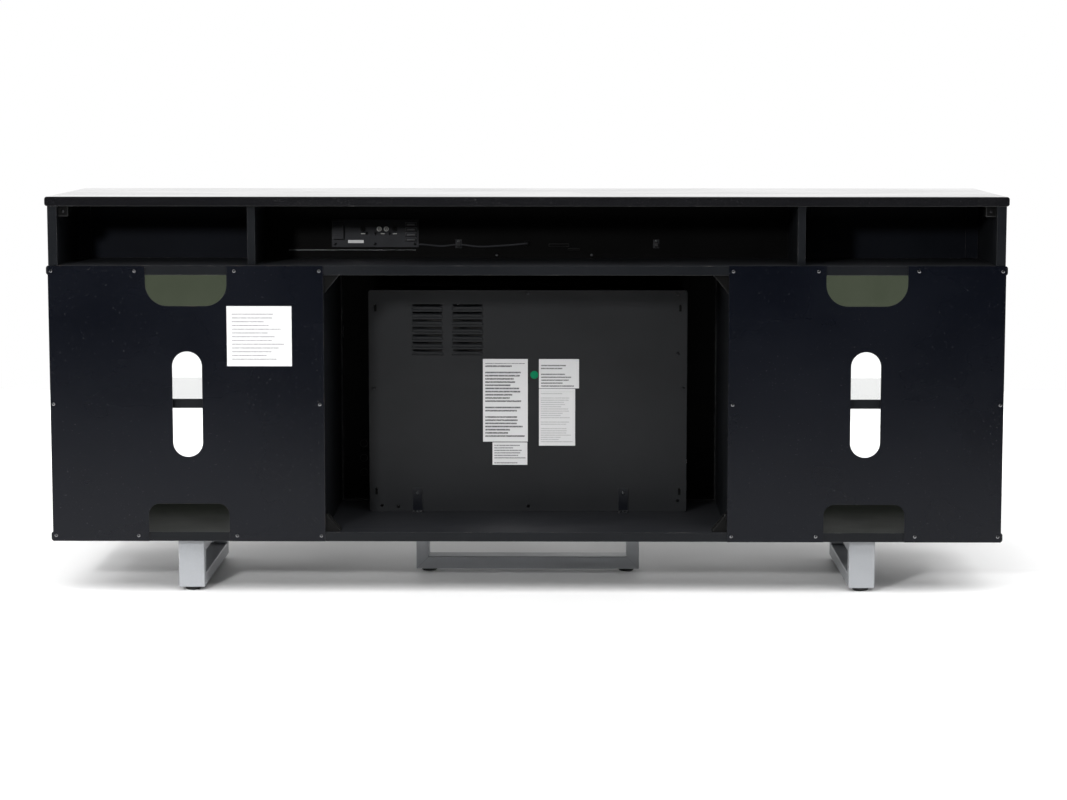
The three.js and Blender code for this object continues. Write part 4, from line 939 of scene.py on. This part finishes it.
# Paper labels, as x0, x1, z0, z1 in millimetres, with rows of plain bars.
labels = {
    "label_main": ((0, 90, 261, 428), 26, 0.5, 0.88),
    "label_foot": ((1, 71, 214, 259.5), 9, 0.45, 0.7),
    "label_rating": ((-102.7, -22.4, 369, 428), 10, 0.45, 0.8),
    "label_slip": ((-95, -22.4, 253, 368), 26, 0.4, 0.36),
}
for i, (name, (rect, rows, fill, ink)) in enumerate(labels.items()):
    bm = bmesh.new()
    add_leaf(bm, rect, COVER_FACE + (0.05 + 0.01 * i) * MM, 0.14 * MM, 0.3 * MM, 10.0 + i)
    piece(name, bm, "cabinet", [paper(f"{name}_paper", rect, rows, fill, ink, margin=0.05)])
bm = bmesh.new()
dot = [(0, 0.3), (7.6, 0.3), (8, 0.1), (8, 0), (0, 0)]
add_turned(bm, millimetres(dot), facing(Vector((-13 * MM, COVER_FACE, 396 * MM)), (0, 1, 0)), 40)
piece("green_dot", bm, "cabinet", green_dot)

# Bright screws of the hold-down brackets.
bm = bmesh.new()
for side in SIDES:
    lo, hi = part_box(f"hold_down_bracket_{side}")
    middle = (lo.x + hi.x) / 2
    for shift in (-7, 0, 7):
        add_screw(bm, Vector((middle + shift * MM, hi.y - 6 * MM, lo.z + 2 * MM)), (0, 0, 1), 3 * MM, 0.8)
    add_screw(bm, Vector((middle, lo.y + 2 * MM, hi.z - 10 * MM)), (0, 1, 0), 3.4 * MM, 0.6)
fasteners("bracket_screws", bm, zinc)

# Ember bed: a lumpy moulding strewn with chunks.
bed_lo, bed_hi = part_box("log_bed")
BED_CREST = bed_lo.z + 56 * MM
rng = random.Random(7)


def add_chunk(bm, centre, radius, seed):
    """A flattened, lumpy stone, turned at random."""
    made = bmesh.ops.create_icosphere(bm, subdivisions=3, radius=1)["verts"]
    stretch = Vector((rng.uniform(0.8, 1.5), rng.uniform(0.7, 1), rng.uniform(0.6, 0.9)))
    spin = Matrix.Rotation(rng.uniform(0, math.tau), 3, "Z") @ Matrix.Rotation(rng.uniform(-0.5, 0.5), 3, "X")
    for v in made:
        coarse = 0.35 * noise.noise(v.co * 1.7 + Vector((seed, 0, 0)))
        fine = 0.12 * noise.noise(v.co * 5 + Vector((0, seed, 0)))
        flat = Vector(c * s for c, s in zip(v.co, stretch))
        v.co = centre + spin @ (flat * radius * (1 + coarse + fine))


bm = bmesh.new()
columns, ranks = 120, 12
grid = []
for i in range(columns + 1):
    for j in range(ranks + 1):
        x = bed_lo.x + (bed_hi.x - bed_lo.x) * i / columns
        y = bed_lo.y + (bed_hi.y - bed_lo.y) * j / ranks
        slope = (j / ranks - 0.5) * 30 * MM
        lumps = 9 * MM * noise.noise(Vector((x * 45, y * 45, 1)))
        lumps += 5 * MM * noise.noise(Vector((x * 110, y * 110, 4)))
        edge = min(1, min(i, columns - i) / 6)
        rise = (BED_CREST - bed_lo.z - 12 * MM + slope + lumps) * (0.35 + 0.65 * edge)
        grid.append(bm.verts.new((x, y, bed_lo.z + rise)))
for i in range(columns):
    for j in range(ranks):
        k = i * (ranks + 1) + j
        bm.faces.new((grid[k], grid[k + ranks + 1], grid[k + ranks + 2], grid[k + 1]))
rim = [e for e in bm.edges if e.is_boundary]
skirt = bmesh.ops.extrude_edge_only(bm, edges=rim)["geom"]
for v in (g for g in skirt if isinstance(g, bmesh.types.BMVert)):
    v.co.z = bed_lo.z
bmesh.ops.edgeloop_fill(bm, edges=[e for e in bm.edges if e.is_boundary])
for k in range(70):
    u = rng.random()
    depth = rng.uniform(0.2, 0.8)
    radius = rng.uniform(5, 9) * MM
    x = bed_lo.x + 14 * MM + (bed_hi.x - bed_lo.x - 28 * MM) * u
    y = bed_lo.y + (bed_hi.y - bed_lo.y) * depth
    z = BED_CREST - 11 * MM + (depth - 0.5) * 30 * MM + rng.uniform(-2, 5) * MM
    y = min(max(y, bed_lo.y + 1.5 * radius), bed_hi.y - 1.5 * radius)
    add_chunk(bm, Vector((x, y, z)), radius, 3.7 * k)
piece("ember_bed", bm, "cabinet", ember_finish, ["log_bed"])


def add_log(bm, start, end, thick, seed):
    """A log with ridged bark, a slow bend and broken ends."""
    start, end = Vector(start), Vector(end)
    steps, sides = 60, 36
    turn = (end - start).to_track_quat("Z", "Y").to_matrix()
    rings = []
    for i in range(steps + 1):
        t = i / steps
        centre = start.lerp(end, t) + Vector((0, 0, 5 * MM * math.sin(t * 5 + seed)))
        ring = []
        for k in range(sides):
            a = math.tau * k / sides
            out = Vector((math.cos(a), math.sin(a), 0))
            ridge = noise.noise(Vector((math.cos(a) * 3.2, math.sin(a) * 3.2, t * 5 + seed)))
            fine = noise.noise(Vector((math.cos(a) * 9, math.sin(a) * 9, t * 14 + seed)))
            radius = thick * (1 + 0.16 * ridge + 0.08 * fine - 0.12 * t)
            ragged = turn @ Vector((0, 0, 3 * MM * noise.noise(out * 4 + Vector((seed, 0, 0)))))
            at_end = i in (0, steps)
            ring.append(bm.verts.new(centre + turn @ (out * radius) + (ragged if at_end else Vector())))
        rings.append(ring)
    for low, high in zip(rings, rings[1:]):
        for k in range(sides):
            j = (k + 1) % sides
            bm.faces.new((low[k], low[j], high[j], high[k]))
    for ring, inward in ((rings[0], end - start), (rings[-1], start - end)):
        middle = sum((v.co for v in ring), Vector()) / sides
        hub = bm.verts.new(middle + inward.normalized() * 2 * MM)
        for k in range(sides):
            bm.faces.new((ring[k], ring[(k + 1) % sides], hub))


MIDDLE_Y = (bed_lo.y + bed_hi.y) / 2
logs = [
    ((-245, 0, 193), (10, 3, 203), 16),
    ((240, 1, 195), (-5, -2, 201), 15),
    ((-120, -1, 207), (118, 1, 226), 13),
    ((-30, -3, 180), (-75, 4, 231), 8),
    ((150, 3, 184), (190, -3, 226), 7),
]
for i, (start, end, thick) in enumerate(logs):
    bm = bmesh.new()
    ends = [Vector((x * MM, MIDDLE_Y + y * MM, z * MM)) for x, y, z in (start, end)]
    add_log(bm, *ends, thick * MM, 11.3 * i)
    piece(f"log_{i + 1}", bm, "cabinet", finishes["resin_log"], ["log_bed"])


# ---------- doors

for side, sign in SIDES.items():
    body = f"door_{side}"
    look(f"door_glass_{side}", 0.9 * MM, 2)
    bm = bmesh.new()
    for level in ("bottom", "top"):
        node = f"door_pivot_{level}_{side}"
        look(node, 0.8 * MM, 3)
        lo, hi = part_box(node)
        glass_lo, glass_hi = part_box(f"door_glass_{side}")
        z = glass_lo.z + 12 * MM if level == "bottom" else glass_hi.z - 12 * MM
        for shift in (8, 22):
            x = sign * (max(abs(lo.x), abs(hi.x)) - shift * MM)
            turn = facing(Vector((x, hi.y, z)), (0, 1, 0))
            socket = [(0, -0.6), (1.3, -0.6), (1.5, 0.5), (2.6, 0.5), (2.9, 0.1), (2.9, -0.2), (0, -0.7)]
            add_turned(bm, millimetres(socket), turn, 24)
    fasteners(f"clamp_screws_{side}", bm, black_oxide, body)

    # A strike plate on the glass, and the push latch that it meets under the middle panel.
    lo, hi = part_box(f"door_glass_{side}")
    x = sign * (min(abs(lo.x), abs(hi.x)) + 36 * MM)
    z = mid_lo.z - 15 * MM
    bm = bmesh.new()
    plate = [(0, 0), (8, 0), (8, 0.9), (7.4, 1.3), (0, 1.3)]
    add_turned(bm, millimetres(plate), facing(Vector((x, hi.y + 0.05 * MM, z)), (0, 1, 0)), 36)
    fasteners(f"strike_plate_{side}", bm, zinc, body)
    bm = bmesh.new()
    latch = Vector((x, hi.y + 6 * MM, z))
    add_plate(bm, latch, (-7, 7), (0, 52), (-6, 8))
    add_plate(bm, latch, (-14, 14), (8, 44), (12, 14.8))
    add_plate(bm, latch, (-7, 7), (8, 44), (7.8, 12.2))
    fitting(f"push_latch_{side}", bm, "black_plastic", 0.8 * MM)
    bm = bmesh.new()
    tip = [(0, 0), (5, 0), (5, 3.4), (4.3, 4.2), (0, 4.2)]
    add_turned(bm, millimetres(tip), facing(latch, (0, -1, 0)), 28)
    piece(f"latch_tip_{side}", bm, "cabinet", finishes["amplifier_plastic"][:1])


# ---------- floor, light and camera


def floor_finish():
    """A plain pale floor, very slightly uneven."""
    f = Finish("floor")
    f.set({"Base Color": f.mix(f.noise(0.9, 4), (0.86, 0.86, 0.86), (0.9, 0.9, 0.9))})
    f.set({"Roughness": f.span(f.noise(0.3, 3), 0.3, 0.7, 0.5, 0.65)})
    f.relief(f.noise(0.02, 3), 5e-5)
    return f


bm = bmesh.new()
add_box(bm, (-5, -3.2, -0.02), (5, 2.1, 0))
mesh = bpy.data.meshes.new("floor")
bm.to_mesh(mesh)
bm.free()
mesh.materials.append(floor_finish().material)
floor = bpy.data.objects.new("floor", mesh)
scene.collection.objects.link(floor)


def softbox(name, place, target, size, radiance, unseen_by=()):
    """A rectangular light aimed at target, unseen by the camera and by rays of the kinds in unseen_by."""
    width, height = size
    data = bpy.data.lights.new(name, "AREA")
    data.shape = "RECTANGLE"
    data.size, data.size_y = width, height
    data.energy = radiance * math.pi * width * height
    obj = bpy.data.objects.new(name, data)
    obj.location = place
    obj.rotation_euler = (Vector(target) - Vector(place)).to_track_quat("-Z", "Y").to_euler()
    for kind in ("camera", *unseen_by):
        setattr(obj, f"visible_{kind}", False)
    scene.collection.objects.link(obj)


softbox("backdrop", (0, -3.4, 1.7), (0, 0, 1.7), (9, 3.4), 0.97, ("diffuse", "transmission"))
softbox("overhead", (0, 2.1, 3.6), (0, 1.4, 0), (9, 3.4), 3.3, ("glossy",))
FLOOR_ONLY = ("glossy", "transmission")  # a light that brightens the floor and shows in no reflection
softbox("far_strip", (0, -2.5, 0.6), (0, -2.5, 0), (9, 1.9), 1.9, FLOOR_ONLY)
for side, sign in SIDES.items():
    softbox(f"{side}_strip", (sign * 1.95, -0.9, 0.6), (sign * 1.95, -0.9, 0), (1.2, 3.0), 2.6, FLOOR_ONLY)
softbox("front", (0, 4.6, 2.1), (0, 0, 0.4), (6, 1.8), 0.6, ("glossy",))
KEY = ((1.5, 3.8, 1.7), (-0.1, 0, 0.45), (0.3, 0.3))
softbox("key", *KEY, 337, ("glossy",))
softbox("glint", *KEY, 50, ("diffuse",))

world = bpy.data.worlds.new("studio")
scene.world = world
world.use_nodes = True
tree = world.node_tree
path = tree.nodes.new("ShaderNodeLightPath")
background = tree.nodes["Background"]
background.inputs["Color"].default_value = (1, 1, 1, 1)
strength = 0.02  # a dark room, with a white backdrop to the camera and a brighter one through glass
for kind, share in (("Is Camera Ray", 0.98), ("Is Transmission Ray", 1.2)):
    step = tree.nodes.new("ShaderNodeMath")
    step.operation = "MULTIPLY_ADD"
    tree.links.new(path.outputs[kind], step.inputs[0])
    step.inputs[1].default_value = share
    if isinstance(strength, bpy.types.NodeSocket):
        tree.links.new(strength, step.inputs[2])
    else:
        step.inputs[2].default_value = strength
    strength = step.outputs[0]
tree.links.new(strength, background.inputs["Strength"])

scene.view_settings.view_transform = "Standard"
scene.view_settings.look = "None"

SENSOR_WIDTH, FOCAL_LENGTH = 36, 89.7  # millimetres
CAMERA_PLACE, CAMERA_AIM = (-0.068, 5.253, 0.975), (0.0106, -0.993, -0.118)  # the second is a direction
camera_data = bpy.data.cameras.new("camera")
camera_data.sensor_width = SENSOR_WIDTH
camera_data.lens = FOCAL_LENGTH
camera = bpy.data.objects.new("camera", camera_data)
camera.location = CAMERA_PLACE
camera.rotation_euler = Vector(CAMERA_AIM).to_track_quat("-Z", "Y").to_euler()
scene.collection.objects.link(camera)
scene.camera = camera
